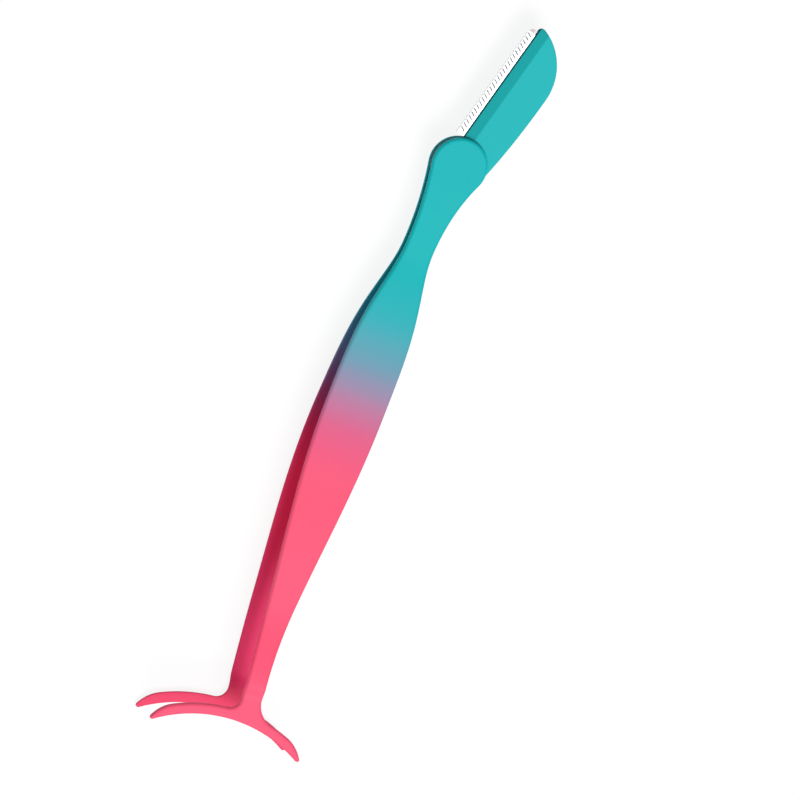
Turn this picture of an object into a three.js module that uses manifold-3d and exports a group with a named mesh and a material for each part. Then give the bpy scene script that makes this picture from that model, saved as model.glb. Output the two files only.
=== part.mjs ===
// Two-leaf lash tweezers with crescent jaws and a fold-away brow razor at the heel.
// Millimetres, +Z up. X runs from the jaws to the razor, Y to the blade side, Z from rear leaf to front leaf.
// While the pieces are made, the razor's pivot axis is X = Y = 0 and the plane between the leaves is Z = 0.

import * as THREE from 'three';
import { mergeVertices } from 'three/addons/utils/BufferGeometryUtils.js';
import Module from 'manifold-3d';

const wasm = await Module();
wasm.setup();

// Leaf section
const LEAF_THICKNESS = 1.2;
const LEAF_GAP = 1.8;
const EDGE_ROUND = 0.7;
const EDGE_BREAK = 0.15;

// Leaf outline: places are distances from the pivot towards the jaws
const ARM_LENGTH = 123.65;
const BELLY_SHARE = 0.453;
const STRAIGHT_SHARE = 0.6065;
const CAMBER_SHARE = 0.8;
const HEAD_RADIUS = 6.1;
const HEAD_LEFT_DEG = 100;
const HEAD_RIGHT_DEG = -116;
const NECK_AT = 19;
const NECK_WIDTH = 6.4;
const NECK_OFFSET = 1.8;
const SHOULDER_FULLNESS = 1.88;
const FLEX_AT = 20;
const FLEX_CUT = 0.3;
const BELLY_WIDTH = 13.1;
const STEM_LENGTH = 6.15;
const STEM_WIDTH = 4.45;
const CAMBER = 4.25;
const STEM_DROP = 1;

// Bow of the arms, as heights of the leaf's middle above the plane between the leaves
const RAMP_LENGTH = 5;
const ARM_HEIGHT = 7;
const JAW_HEIGHT = 6.2;
const CREASE_LENGTH = 3;
const JAW_CLEARANCE = 0.1;

// Crescent jaw
const JAW_RADIUS = 31.2;
const JAW_BAND = 2.3;
const JAW_TIP_BAND = 0.95;
const JAW_FLANK_RADIUS = 8;
const JAW_SPAN = 34.1;
const JAW_OFFSET = 4.6;
const JAW_TURN_DEG = 2.2;
const JAW_FILLET_LEFT = 2.5;
const JAW_FILLET_RIGHT = 5;

// Pivot, washers and stop
const PIVOT_RADIUS = 1.2;
const WASHER_RADIUS = 3.1;
const WASHER_THICKNESS = 0.12;
const STOP_RADIUS = 0.7;
const STOP_REACH = 4.2;
const STOP_SEAT_DEG = 240;
const PIN_COVER = 0.42;
const PIN_CLEARANCE = 0.08;
const SWING_CLEARANCE = 0.06;

// Back spacer between the heels
const SPACER_INSET = 0.1;
const SPACER_END_GAP = 0.4;
const SPACER_NECK_SHARE = 0.5;
const SPACER_PIN_RADIUS = 0.4;
const SPACER_PINS_FROM_END = { upper: 3.8, lower: 1.3 };

// Razor holder, in its own frame: x along the holder, y to the blade
const RAZOR_TILT_DEG = 15.5;
const FOLD_DEG = 176;
const HOLDER_BLADE_SIDE = 2.8;
const HOLDER_BACK = 7.35;
const BACK_FULL_AT = 9.5;
const NOSE_RADIUS = 12.45;
const NOSE_AT = 21.85;
const NOSE_TIP_ROUND = 0.9;
const TANG_CLEARANCE = 0.1;
const BEVEL_WIDTH = 2.5;
const BEVEL_DROP = 0.22;
const POST_RADIUS = 0.6;
const POST_COVER = 0.22;
const POST_OFFSET = 0.5;
const POSTS_AT = [13, 25];

// Blade and its comb guard
const BLADE_START = 5.7;
const BLADE_NOSE_WALL = 1.4;
const BLADE_TIP_ROUND = 0.9;
const BLADE_ROOT = -1;
const BLADE_EDGE = 4.3;
const BLADE_THICKNESS = 0.2;
const GRIND_WIDTH = 1;
const GRIND_EDGE = 0.04;
const GUARD_END = 31.8;
const GUARD_FOIL = 0.12;
const GUARD_ROOT = 1.7;
const GUARD_LAP = 0.4;
const GUARD_TEETH = 28;
const GUARD_SLOT = 0.46;
const GUARD_SLOT_DEPTH = 1.4;
const SEAT_CLEARANCE = 0.03;
const FOLD_CLEARANCE = 0.35;

// Smoothness of the faceted curves
const EDGE_STEPS = 3;
const ARM_RIBS = 28;
const CREASE_RIBS = 4;
const FILLET_STEPS = 6;
const HORN_STEPS = 9;
const FLANK_STEPS = 5;
const TIP_STEPS = 6;
const JUNCTION_STEPS = 6;
const NECK_STEPS = 8;
const HEAD_STEPS = 24;
const PIN_SIDES = 24;
const CURVE_STEPS = 24;
const SLOPE_STEP = 0.01;
const WELD = 1e-5;

// Sizes that follow from those above
const BELLY_AT = ARM_LENGTH * BELLY_SHARE;
const STRAIGHT_TO = ARM_LENGTH * STRAIGHT_SHARE;
const CAMBER_AT = ARM_LENGTH * CAMBER_SHARE;
const STEM_AT = ARM_LENGTH - STEM_LENGTH;
const INNER_FACE = LEAF_GAP / 2;
const HEEL_HEIGHT = INNER_FACE + LEAF_THICKNESS / 2;
const PIN_TOP = INNER_FACE + LEAF_THICKNESS - PIN_COVER - PIN_CLEARANCE;
const HALF_HOLDER = INNER_FACE - WASHER_THICKNESS - SWING_CLEARANCE;
const POST_TOP = HALF_HOLDER - POST_COVER - PIN_CLEARANCE;
const NOSE_HEIGHT = NOSE_RADIUS - HOLDER_BACK;
const ROUND = Math.min(EDGE_ROUND, LEAF_THICKNESS - 2 * EDGE_BREAK, JAW_BAND / 2 - EDGE_BREAK);
const JAW_FLAT_AT = STEM_AT + CREASE_LENGTH;
const ARM_SLOPE = (ARM_HEIGHT - HEEL_HEIGHT)
  / (STRAIGHT_TO - FLEX_AT - RAMP_LENGTH / 2 + (STEM_AT - STRAIGHT_TO) / 2);
const SQUEEZE = Math.asin((JAW_HEIGHT - LEAF_THICKNESS / 2 - JAW_CLEARANCE / 2) / (JAW_FLAT_AT - FLEX_AT));
const JAW_TURN = THREE.MathUtils.degToRad(JAW_TURN_DEG);
const TANG_RADIUS = HEAD_RADIUS - TANG_CLEARANCE;
const RAZOR_TILT = THREE.MathUtils.degToRad(RAZOR_TILT_DEG);
const FOLD = THREE.MathUtils.degToRad(FOLD_DEG);
const STOP_SEAT = THREE.MathUtils.degToRad(STOP_SEAT_DEG);

// Paints and metals
const TEAL = { color: 0x33bdc1, roughness: 0.5, metalness: 0 };
const DEEP_TEAL = { color: 0x0aa0a6, roughness: 0.45, metalness: 0 };
const PINK = { color: 0xfe6488, roughness: 0.5, metalness: 0 };
const STEEL = { color: 0xc9cccf, roughness: 0.3, metalness: 1 };
const BLADE_STEEL = { color: 0xe6e8ea, roughness: 0.2, metalness: 1 };
const NYLON = { color: 0xeeeeea, roughness: 0.6, metalness: 0 };

// A closed solid from a geometry, for joining and cutting
function solidOf(geometry) {
  const bare = geometry.clone();
  bare.deleteAttribute('normal');
  bare.deleteAttribute('uv');
  const merged = mergeVertices(bare, WELD);
  return new wasm.Manifold(new wasm.Mesh({
    numProp: 3,
    vertProperties: Float32Array.from(merged.attributes.position.array),
    triVerts: Uint32Array.from(merged.index.array),
  }));
}

// The geometry of a solid
function geometryOf(solid) {
  const mesh = solid.getMesh();
  const geometry = new THREE.BufferGeometry();
  geometry.setAttribute('position', new THREE.BufferAttribute(Float32Array.from(mesh.vertProperties), 3));
  geometry.setIndex(new THREE.BufferAttribute(Uint32Array.from(mesh.triVerts), 1));
  geometry.computeVertexNormals();
  return geometry;
}

function cut(geometry, tools) {
  return geometryOf(tools.reduce((body, tool) => body.subtract(solidOf(tool)), solidOf(geometry)));
}

function join(geometry, pieces) {
  return geometryOf(pieces.reduce((body, piece) => body.add(solidOf(piece)), solidOf(geometry)));
}

// The mirror image of a geometry in the plane between the leaves
function mirrored(geometry) {
  const copy = geometry.clone();
  const index = copy.index.array;
  copy.scale(1, 1, -1);
  for (let i = 0; i < index.length; i += 3) {
    [index[i], index[i + 1]] = [index[i + 1], index[i]];
  }
  copy.computeVertexNormals();
  return copy;
}

// A flat shape raised from one height to another
function prism(shape, bottom, top) {
  const geometry = new THREE.ExtrudeGeometry(shape, {
    depth: top - bottom,
    bevelEnabled: false,
    curveSegments: CURVE_STEPS,
  });
  return geometry.translate(0, 0, bottom);
}

function pin(radius, bottom, top, place = new THREE.Vector2()) {
  const geometry = new THREE.CylinderGeometry(radius, radius, top - bottom, PIN_SIDES);
  return geometry.rotateX(Math.PI / 2).translate(place.x, place.y, (bottom + top) / 2);
}

function block(low, high) {
  const size = high.clone().sub(low);
  const middle = high.clone().add(low).multiplyScalar(0.5);
  return new THREE.BoxGeometry(size.x, size.y, size.z).translate(middle.x, middle.y, middle.z);
}

function polar(radius, angle, centre = new THREE.Vector2()) {
  return new THREE.Vector2(radius * Math.cos(angle), radius * Math.sin(angle)).add(centre);
}

// A smooth rise from 0 to 1, level at both ends
function ease(share) {
  return (1 - Math.cos(Math.PI * THREE.MathUtils.clamp(share, 0, 1))) / 2;
}

// Equal steps from one number to another, both included
function steps(from, to, count) {
  return Array.from({ length: count + 1 }, (_, i) => from + (to - from) * i / count);
}

// Points of an arc, from one angle to another
function arc(centre, radius, from, to, count) {
  return steps(from, to, count).map((angle) => polar(radius, angle, centre));
}

// Half of the leaf's width at a distance from the pivot: slim at the neck and the stem, full at the belly
function halfWidth(at) {
  if (at < BELLY_AT) {
    const left = 1 - THREE.MathUtils.clamp((at - NECK_AT) / (BELLY_AT - NECK_AT), 0, 1);
    return (NECK_WIDTH + (BELLY_WIDTH - NECK_WIDTH) * ease(1 - left ** SHOULDER_FULLNESS)) / 2;
  }
  return (BELLY_WIDTH + (STEM_WIDTH - BELLY_WIDTH) * ease((at - BELLY_AT) / (STEM_AT - BELLY_AT))) / 2;
}

// Sideways place of the leaf's centre line: it bows towards the blade side, then turns back at the stem
function centreLine(at) {
  if (at < CAMBER_AT) {
    return CAMBER - (CAMBER - NECK_OFFSET) * ((CAMBER_AT - at) / (CAMBER_AT - NECK_AT)) ** 2;
  }
  return CAMBER - STEM_DROP * ((at - CAMBER_AT) / (STEM_AT - CAMBER_AT)) ** 2;
}

// A point on the leaf's edge: side is 1 on the blade side and -1 on the other
function edgePoint(at, side) {
  return new THREE.Vector2(-at, centreLine(at) + side * halfWidth(at));
}

// Height of the front leaf's middle at a distance from the pivot
function leafHeight(at) {
  const flat = STEM_AT - STRAIGHT_TO;
  const ramp = THREE.MathUtils.clamp(at - FLEX_AT, 0, RAMP_LENGTH);
  const straight = THREE.MathUtils.clamp(at - FLEX_AT - RAMP_LENGTH, 0, STRAIGHT_TO - FLEX_AT - RAMP_LENGTH);
  const bend = THREE.MathUtils.clamp(at - STRAIGHT_TO, 0, flat);
  const rise = ramp ** 2 / (2 * RAMP_LENGTH) + straight + bend - bend ** 2 / (2 * flat);
  const crease = (ARM_HEIGHT - JAW_HEIGHT) * ease((at - STEM_AT) / CREASE_LENGTH);
  const flare = Math.tan(SQUEEZE) * Math.max(at - JAW_FLAT_AT, 0);
  return HEEL_HEIGHT + ARM_SLOPE * rise - crease + flare;
}

// Directions into the material at each point of an outline that runs counter-clockwise. The first and last
// points end the ribs, so theirs go straight across, and the faces between the ribs are flat.
function inwardNormals(outline, ribs) {
  const last = outline.length - 1;
  return outline.map((point, i) => {
    if (i < ribs || i > last - ribs) {
      const across = outline[last - i].clone().sub(point);
      return across.normalize();
    }
    const before = point.clone().sub(outline[i - 1]).normalize();
    const after = outline[i + 1].clone().sub(point).normalize();
    const along = before.add(after).normalize();
    return new THREE.Vector2(-along.y, along.x);
  });
}

// A leaf plate with a small break on its inner edge and a round on its outer edge. Rings of vertices follow
// the outline from the inner face to the outer one, and the same faces, with any points inside, close both.
// The shares make the break and the round narrower where the plate is slim.
function plate(outline, ribs, inside, faces, shares = outline.map(() => 1)) {
  const normals = inwardNormals(outline, ribs);
  const half = LEAF_THICKNESS / 2;
  const rings = [
    { inset: EDGE_BREAK, height: -half },
    { inset: 0, height: EDGE_BREAK - half },
    ...steps(0, Math.PI / 2, EDGE_STEPS).map((angle) => ({
      inset: ROUND * (1 - Math.cos(angle)),
      height: half - ROUND * (1 - Math.sin(angle)),
    })),
  ];
  const count = outline.length;
  const top = rings.length - 1;
  const vertices = [];
  const triangles = [];
  for (const ring of rings) {
    outline.forEach((point, i) => {
      const place = point.clone().addScaledVector(normals[i], ring.inset * shares[i]);
      vertices.push(place.x, place.y, leafHeight(-place.x) + ring.height);
    });
  }
  for (const height of [-half, half]) {
    for (const point of inside) {
      vertices.push(point.x, point.y, leafHeight(-point.x) + height);
    }
  }
  for (let ring = 0; ring < top; ring += 1) {
    for (let i = 0; i < count; i += 1) {
      const next = (i + 1) % count;
      const low = ring * count;
      const high = low + count;
      triangles.push(low + i, low + next, high + next, low + i, high + next, high + i);
    }
  }
  const inner = (i) => (i < count ? i : rings.length * count + i - count);
  const outer = (i) => (i < count ? top * count + i : rings.length * count + inside.length + i - count);
  for (const [a, b, c] of faces) {
    triangles.push(inner(a), inner(c), inner(b), outer(a), outer(b), outer(c));
  }
  const geometry = new THREE.BufferGeometry();
  geometry.setAttribute('position', new THREE.Float32BufferAttribute(vertices, 3));
  geometry.setIndex(triangles);
  geometry.computeVertexNormals();
  return geometry;
}

// Faces of a strip between two rows of points with equal counts
function strip(rowA, rowB) {
  const faces = [];
  for (let i = 0; i + 1 < rowA.length; i += 1) {
    faces.push([rowA[i], rowB[i], rowB[i + 1]], [rowA[i], rowB[i + 1], rowA[i + 1]]);
  }
  return faces.filter(([a, b, c]) => a !== b && b !== c && a !== c);
}

// The neck's edge, from the head's circle to the neck, level with both
function neckCurve(side, headDegrees) {
  const angle = THREE.MathUtils.degToRad(headDegrees);
  const head = polar(HEAD_RADIUS, angle);
  const neck = edgePoint(NECK_AT, side);
  const headWay = new THREE.Vector2(-Math.sin(angle), Math.cos(angle));
  const neckWay = edgePoint(NECK_AT + SLOPE_STEP, side).sub(neck);
  const gap = neck.clone().sub(head);
  const reach = gap.cross(neckWay) / headWay.cross(neckWay);
  const control = head.clone().addScaledVector(headWay, reach);
  return new THREE.QuadraticBezierCurve(neck, control, head);
}

// Heel of the front leaf: round head, neck, and the straight cut at the flexing line
function heelOutline() {
  const from = FLEX_AT - FLEX_CUT / 2;
  const right = neckCurve(-1, HEAD_RIGHT_DEG).getPoints(NECK_STEPS);
  const left = neckCurve(1, HEAD_LEFT_DEG).getPoints(NECK_STEPS).reverse();
  const headFrom = THREE.MathUtils.degToRad(HEAD_RIGHT_DEG);
  const headTo = THREE.MathUtils.degToRad(HEAD_LEFT_DEG);
  const head = arc(new THREE.Vector2(), HEAD_RADIUS, headFrom, headTo, HEAD_STEPS).slice(1, -1);
  return [edgePoint(from, -1), ...right, ...head, ...left, edgePoint(from, 1)];
}

function leafHeel() {
  const outline = heelOutline();
  const last = outline.length - 1;
  const half = Math.floor(last / 2);
  const right = steps(0, half, half);
  const left = right.map((i) => last - i);
  const seats = [
    pin(PIVOT_RADIUS + PIN_CLEARANCE, 0, PIN_TOP + PIN_CLEARANCE),
    pin(STOP_RADIUS + PIN_CLEARANCE, 0, PIN_TOP + PIN_CLEARANCE, stopPlace()),
    ...Object.keys(SPACER_PINS_FROM_END).map((name) => (
      pin(SPACER_PIN_RADIUS + PIN_CLEARANCE, 0, PIN_TOP + PIN_CLEARANCE, spacerPinPlace(name))
    )),
  ];
  return cut(plate(outline, 1, [], strip(left, right)), seats);
}

// Where the round between the stem's edge and the jaw's outer arc has its centre
function filletCentre(side, radius, jawCentre, jawOuter) {
  const start = edgePoint(STEM_AT, side);
  const along = start.clone().sub(edgePoint(STEM_AT - SLOPE_STEP, side)).normalize();
  const out = new THREE.Vector2(along.y, -along.x).multiplyScalar(side);
  const base = start.clone().addScaledVector(out, radius);
  const gap = base.clone().sub(jawCentre);
  const half = gap.dot(along);
  const reach = -half - Math.sqrt(half * half - gap.lengthSq() + (jawOuter + radius) ** 2);
  return { centre: base.addScaledVector(along, reach), out };
}

// Arm of the front leaf: sprung blade, stem and crescent jaw
function leafArm() {
  const jawOuter = JAW_RADIUS + JAW_BAND;
  const jawMiddle = JAW_RADIUS + JAW_BAND / 2;
  const jawCentre = new THREE.Vector2(-ARM_LENGTH - jawOuter, JAW_OFFSET);
  const tipMiddle = JAW_RADIUS + JAW_TIP_BAND / 2;
  const tipAngle = (side) => JAW_TURN + side * Math.asin((JAW_SPAN - JAW_TIP_BAND) / 2 / tipMiddle);
  const joints = {};
  // One side of the leaf, from the flexing line to the last outer point of its horn
  const sideOutline = (side) => {
    const blade = steps(FLEX_AT + FLEX_CUT / 2, STEM_AT, ARM_RIBS).map((at) => edgePoint(at, side));
    const radius = side > 0 ? JAW_FILLET_LEFT : JAW_FILLET_RIGHT;
    const { centre, out } = filletCentre(side, radius, jawCentre, jawOuter);
    const from = Math.atan2(-out.y, -out.x);
    const toJaw = jawCentre.clone().sub(centre);
    const turn = THREE.MathUtils.euclideanModulo(side * (from - Math.atan2(toJaw.y, toJaw.x)), 2 * Math.PI);
    const round = arc(centre, radius, from, from - side * turn, FILLET_STEPS);
    const stem = steps(0, 1, CREASE_RIBS).slice(1, -1).map((share) => (
      blade[ARM_RIBS].clone().lerp(round[0], share)
    ));
    joints[side] = Math.atan2(centre.y - jawCentre.y, centre.x - jawCentre.x);
    return [...blade, ...stem, ...round];
  };
  // One horn: its outer arc, the flank that brings the arc in to the tip, and the tip's round
  const hornOutline = (side) => {
    const angle = tipAngle(side);
    const flankReach = jawOuter - JAW_FLANK_RADIUS;
    const flankToTip = JAW_FLANK_RADIUS - JAW_TIP_BAND / 2;
    const sides = flankReach ** 2 + tipMiddle ** 2 - flankToTip ** 2;
    const turn = Math.acos(sides / (2 * flankReach * tipMiddle));
    const from = angle - side * turn;
    const flankCentre = polar(flankReach, from, jawCentre);
    const middle = polar(tipMiddle, angle, jawCentre);
    const toTip = middle.clone().sub(flankCentre);
    const to = Math.atan2(toTip.y, toTip.x);
    return {
      outer: [
        ...arc(jawCentre, jawOuter, joints[side], from, HORN_STEPS).slice(1),
        ...arc(flankCentre, JAW_FLANK_RADIUS, from, to, FLANK_STEPS).slice(1),
      ],
      tip: arc(middle, JAW_TIP_BAND / 2, to, angle + side * Math.PI, TIP_STEPS).slice(1, -1),
    };
  };
  const leftRoot = sideOutline(1);
  const rightRoot = sideOutline(-1);
  const left = hornOutline(1);
  const right = hornOutline(-1);
  const inside = steps(joints[1], joints[-1], JUNCTION_STEPS).slice(1, -1).map((angle) => (
    polar(jawMiddle, angle, jawCentre)
  ));
  const rootEnd = leftRoot.length - 1;
  const hornCount = left.outer.length;
  const grip = [
    ...left.outer.slice().reverse(), leftRoot[rootEnd], ...inside, rightRoot[rootEnd], ...right.outer,
  ].map((point) => {
    const angle = Math.atan2(point.y - jawCentre.y, point.x - jawCentre.x);
    return polar(JAW_RADIUS, THREE.MathUtils.clamp(angle, tipAngle(-1), tipAngle(1)), jawCentre);
  });
  const outline = [
    ...leftRoot, ...left.outer, ...left.tip, ...grip, ...right.tip.reverse(), ...right.outer.reverse(),
    ...rightRoot.reverse(),
  ];
  const last = outline.length - 1;
  const hornEnd = rootEnd + hornCount;
  const gripStart = hornEnd + TIP_STEPS;
  const gripEnd = last - gripStart;
  const ribRow = steps(0, rootEnd - 1, rootEnd - 1);
  const outerRow = [
    ...steps(hornEnd, rootEnd, hornCount),
    ...inside.map((_, i) => outline.length + i),
    ...steps(last - rootEnd, last - hornEnd, hornCount),
  ];
  const gripRow = steps(gripStart, gripEnd, gripEnd - gripStart);
  const junction = outerRow.slice(hornCount, hornCount + JUNCTION_STEPS + 1);
  const middle = Math.floor(JUNCTION_STEPS / 2);
  const faces = [
    ...strip(ribRow.map((i) => last - i), ribRow),
    [rootEnd - 1, junction[middle], last - rootEnd + 1],
    ...strip(outerRow, gripRow),
  ];
  for (let i = 0; i < JUNCTION_STEPS; i += 1) {
    const root = i < middle ? rootEnd - 1 : last - rootEnd + 1;
    faces.push([root, junction[i], junction[i + 1]]);
  }
  for (let i = 1; i < TIP_STEPS; i += 1) {
    faces.push([hornEnd, hornEnd + i, hornEnd + i + 1]);
    faces.push([last - hornEnd, last - hornEnd - i - 1, last - hornEnd - i]);
  }
  const share = (width) => Math.min(1, (width / 2 - EDGE_BREAK) / ROUND);
  const shares = outline.map((_, i) => {
    const row = outerRow.includes(i) ? outerRow : gripRow;
    const place = row.indexOf(i);
    if (place < 0) {
      const atTip = Math.min(i, last - i) > hornEnd;
      return atTip ? share(JAW_TIP_BAND) : 1;
    }
    const other = row === outerRow ? gripRow[place] : outerRow[place];
    return other > last ? 1 : share(outline[i].distanceTo(outline[other]));
  });
  return plate(outline, ARM_RIBS + 1, inside, faces, shares);
}

// Place of the stop pin between the heels, from its seat in the holder's slot with the razor open
function stopPlace() {
  return polar(STOP_REACH, STOP_SEAT - RAZOR_TILT);
}

// Sideways place, at a distance from the pivot, of the line that the folded guard's teeth stay clear of
function foldLine(at) {
  const way = FOLD - RAZOR_TILT;
  const reach = BLADE_EDGE + GUARD_LAP + FOLD_CLEARANCE;
  return (reach - at * Math.sin(way)) / Math.cos(way);
}

// The spacer's outer edge, from the flexing line up the neck
function spacerBack() {
  const neck = neckCurve(-1, HEAD_RIGHT_DEG);
  const points = steps(0, SPACER_NECK_SHARE, NECK_STEPS).map((share) => neck.getPoint(share));
  return [edgePoint(FLEX_AT - SPACER_END_GAP, -1), ...points].map((point) => (
    new THREE.Vector2(point.x, point.y + SPACER_INSET)
  ));
}

function spacerPinPlace(name) {
  const at = FLEX_AT - SPACER_END_GAP - SPACER_PINS_FROM_END[name];
  const back = spacerBack();
  const next = back.findIndex((point) => point.x > -at);
  const [a, b] = [back[next - 1], back[next]];
  const edge = THREE.MathUtils.mapLinear(-at, a.x, b.x, a.y, b.y);
  return new THREE.Vector2(-at, (edge + foldLine(at)) / 2);
}

function backSpacer() {
  const back = spacerBack();
  const ends = [back[back.length - 1], back[0]].map((point) => (
    new THREE.Vector2(point.x, foldLine(-point.x))
  ));
  const holes = Object.keys(SPACER_PINS_FROM_END).map((name) => (
    pin(SPACER_PIN_RADIUS + PIN_CLEARANCE, -LEAF_GAP, LEAF_GAP, spacerPinPlace(name))
  ));
  return cut(prism(new THREE.Shape([...back, ...ends]), -INNER_FACE, INNER_FACE), holes);
}

function washer() {
  const shape = new THREE.Shape().absarc(0, 0, WASHER_RADIUS, 0, 2 * Math.PI);
  shape.holes.push(new THREE.Path().absarc(0, 0, PIVOT_RADIUS + PIN_CLEARANCE, 0, 2 * Math.PI));
  return prism(shape, HALF_HOLDER, HALF_HOLDER + WASHER_THICKNESS);
}

// Adds a round nose to an outline, from an angle on round to a straight side, with the corner rounded
function addNose(shape, radius, from, side, cornerRound) {
  const inner = radius - cornerRound;
  const to = Math.asin((side - cornerRound - NOSE_HEIGHT) / inner);
  shape.absarc(NOSE_AT, NOSE_HEIGHT, radius, from, to);
  shape.absarc(NOSE_AT + inner * Math.cos(to), side - cornerRound, cornerRound, to, Math.PI / 2);
}

// Outline of the razor's holder: round tang on the pivot, straight blade side, round nose, long back
function holderShape() {
  const tangEnd = Math.asin(HOLDER_BLADE_SIDE / TANG_RADIUS);
  const shape = new THREE.Shape();
  addNose(shape, NOSE_RADIUS, -Math.PI / 2, HOLDER_BLADE_SIDE, NOSE_TIP_ROUND);
  shape.absarc(0, 0, TANG_RADIUS, tangEnd, 3 * Math.PI / 2);
  shape.quadraticCurveTo(BACK_FULL_AT, -HOLDER_BACK, NOSE_AT, -HOLDER_BACK);
  return shape;
}

// Outline of the blade, or of its pocket with the clearance round it, out to a side
function bladeShape(side, clearance) {
  const radius = NOSE_RADIUS - BLADE_NOSE_WALL + clearance;
  const root = BLADE_ROOT - clearance;
  const shape = new THREE.Shape();
  addNose(shape, radius, Math.asin((root - NOSE_HEIGHT) / radius), side, BLADE_TIP_ROUND);
  shape.lineTo(BLADE_START - clearance, side);
  shape.lineTo(BLADE_START - clearance, root);
  return shape;
}

// Wedge that bevels a face at a height, falling by a drop over a width, along the holder from one x on
function bevelWedge(from, side, width, height, drop) {
  const start = side - width;
  const section = new THREE.Shape([
    new THREE.Vector2(start, height),
    new THREE.Vector2(start + 2 * width, height - 2 * drop),
    new THREE.Vector2(start + 2 * width, INNER_FACE),
    new THREE.Vector2(start, INNER_FACE),
  ]);
  return prism(section, from, NOSE_AT + NOSE_RADIUS).rotateX(Math.PI / 2).rotateZ(Math.PI / 2);
}

// Curved slot in the tang: the stop pin meets its ends when the razor is open and when it is folded
function stopSlot() {
  const width = STOP_RADIUS + PIN_CLEARANCE;
  const from = STOP_SEAT - FOLD;
  const slot = new THREE.Path();
  slot.absarc(0, 0, STOP_REACH + width, from, STOP_SEAT);
  const far = polar(STOP_REACH, STOP_SEAT);
  slot.absarc(far.x, far.y, width, STOP_SEAT, STOP_SEAT + Math.PI);
  slot.absarc(0, 0, STOP_REACH - width, STOP_SEAT, from, true);
  const near = polar(STOP_REACH, from);
  slot.absarc(near.x, near.y, width, from + Math.PI, from + 2 * Math.PI);
  return slot;
}

// Front half of the holder: bevelled down to the blade side, with the blade's pocket in its inner face
function holderHalf() {
  const shape = holderShape();
  shape.holes.push(new THREE.Path().absarc(0, 0, PIVOT_RADIUS + PIN_CLEARANCE, 0, 2 * Math.PI));
  shape.holes.push(stopSlot());
  const pocketDepth = BLADE_THICKNESS / 2 + GUARD_FOIL + 2 * SEAT_CLEARANCE;
  const pocketShape = bladeShape(HOLDER_BLADE_SIDE + BEVEL_WIDTH, SEAT_CLEARANCE);
  const pocket = prism(pocketShape, -HALF_HOLDER, pocketDepth);
  const bevel = bevelWedge(TANG_RADIUS, HOLDER_BLADE_SIDE, BEVEL_WIDTH, HALF_HOLDER, BEVEL_DROP);
  return cut(prism(shape, 0, HALF_HOLDER), [pocket, bevel]);
}

function holderFront() {
  const sockets = POSTS_AT.map((at) => {
    const place = new THREE.Vector2(at, POST_OFFSET);
    return pin(POST_RADIUS + PIN_CLEARANCE, -HALF_HOLDER, POST_TOP + PIN_CLEARANCE, place);
  });
  return cut(holderHalf(), sockets);
}

function holderRear() {
  const posts = POSTS_AT.map((at) => (
    pin(POST_RADIUS, BEVEL_DROP - HALF_HOLDER, POST_TOP, new THREE.Vector2(at, POST_OFFSET))
  ));
  return join(mirrored(holderHalf()), posts);
}

function razorBlade() {
  const half = BLADE_THICKNESS / 2;
  const grind = bevelWedge(0, BLADE_EDGE, GRIND_WIDTH, half, half - GRIND_EDGE / 2);
  const holes = POSTS_AT.map((at) => (
    pin(POST_RADIUS + PIN_CLEARANCE, -HALF_HOLDER, HALF_HOLDER, new THREE.Vector2(at, POST_OFFSET))
  ));
  const grinds = [grind, mirrored(mergeVertices(grind))];
  return cut(prism(bladeShape(BLADE_EDGE, 0), -half, half), [...holes, ...grinds]);
}

// Thin comb folded over the blade's edge: the teeth wrap round it, the slots leave it bare
function bladeGuard() {
  const outside = BLADE_THICKNESS / 2 + SEAT_CLEARANCE + GUARD_FOIL;
  const inside = BLADE_THICKNESS / 2 + SEAT_CLEARANCE;
  const crest = BLADE_EDGE + GUARD_LAP;
  const pitch = (GUARD_END - BLADE_START) / GUARD_TEETH;
  const comb = new THREE.Shape();
  comb.moveTo(BLADE_START, GUARD_ROOT);
  comb.lineTo(GUARD_END, GUARD_ROOT);
  comb.lineTo(GUARD_END, crest);
  for (let slot = GUARD_TEETH - 1; slot > 0; slot -= 1) {
    const middle = BLADE_START + slot * pitch;
    comb.lineTo(middle + GUARD_SLOT / 2, crest);
    comb.lineTo(middle + GUARD_SLOT / 2, crest - GUARD_SLOT_DEPTH);
    comb.lineTo(middle - GUARD_SLOT / 2, crest - GUARD_SLOT_DEPTH);
    comb.lineTo(middle - GUARD_SLOT / 2, crest);
  }
  comb.lineTo(BLADE_START, crest);
  comb.closePath();
  const hollow = block(
    new THREE.Vector3(BLADE_START - GUARD_LAP, GUARD_ROOT - GUARD_LAP, -inside),
    new THREE.Vector3(GUARD_END + GUARD_LAP, BLADE_EDGE + SEAT_CLEARANCE, inside),
  );
  return cut(prism(comb, -outside, outside), [hollow]);
}

function piece(name, geometry, finish) {
  const mesh = new THREE.Mesh(geometry, new THREE.MeshStandardMaterial(finish));
  mesh.name = name;
  return mesh;
}

const heel = leafHeel();
const arm = leafArm();

const tweezers = new THREE.Group();
tweezers.add(piece('front_leaf_heel', heel, TEAL));
tweezers.add(piece('rear_leaf_heel', mirrored(heel), TEAL));
tweezers.add(piece('front_leaf_arm', arm, PINK));
tweezers.add(piece('rear_leaf_arm', mirrored(arm), PINK));
tweezers.add(piece('back_spacer', backSpacer(), DEEP_TEAL));
for (const name of Object.keys(SPACER_PINS_FROM_END)) {
  const spacerPin = pin(SPACER_PIN_RADIUS, -PIN_TOP, PIN_TOP, spacerPinPlace(name));
  tweezers.add(piece(`spacer_pin_${name}`, spacerPin, STEEL));
}
tweezers.add(piece('pivot_pin', pin(PIVOT_RADIUS, -PIN_TOP, PIN_TOP), STEEL));
tweezers.add(piece('stop_pin', pin(STOP_RADIUS, -PIN_TOP, PIN_TOP, stopPlace()), STEEL));
tweezers.add(piece('front_pivot_washer', washer(), NYLON));
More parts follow.
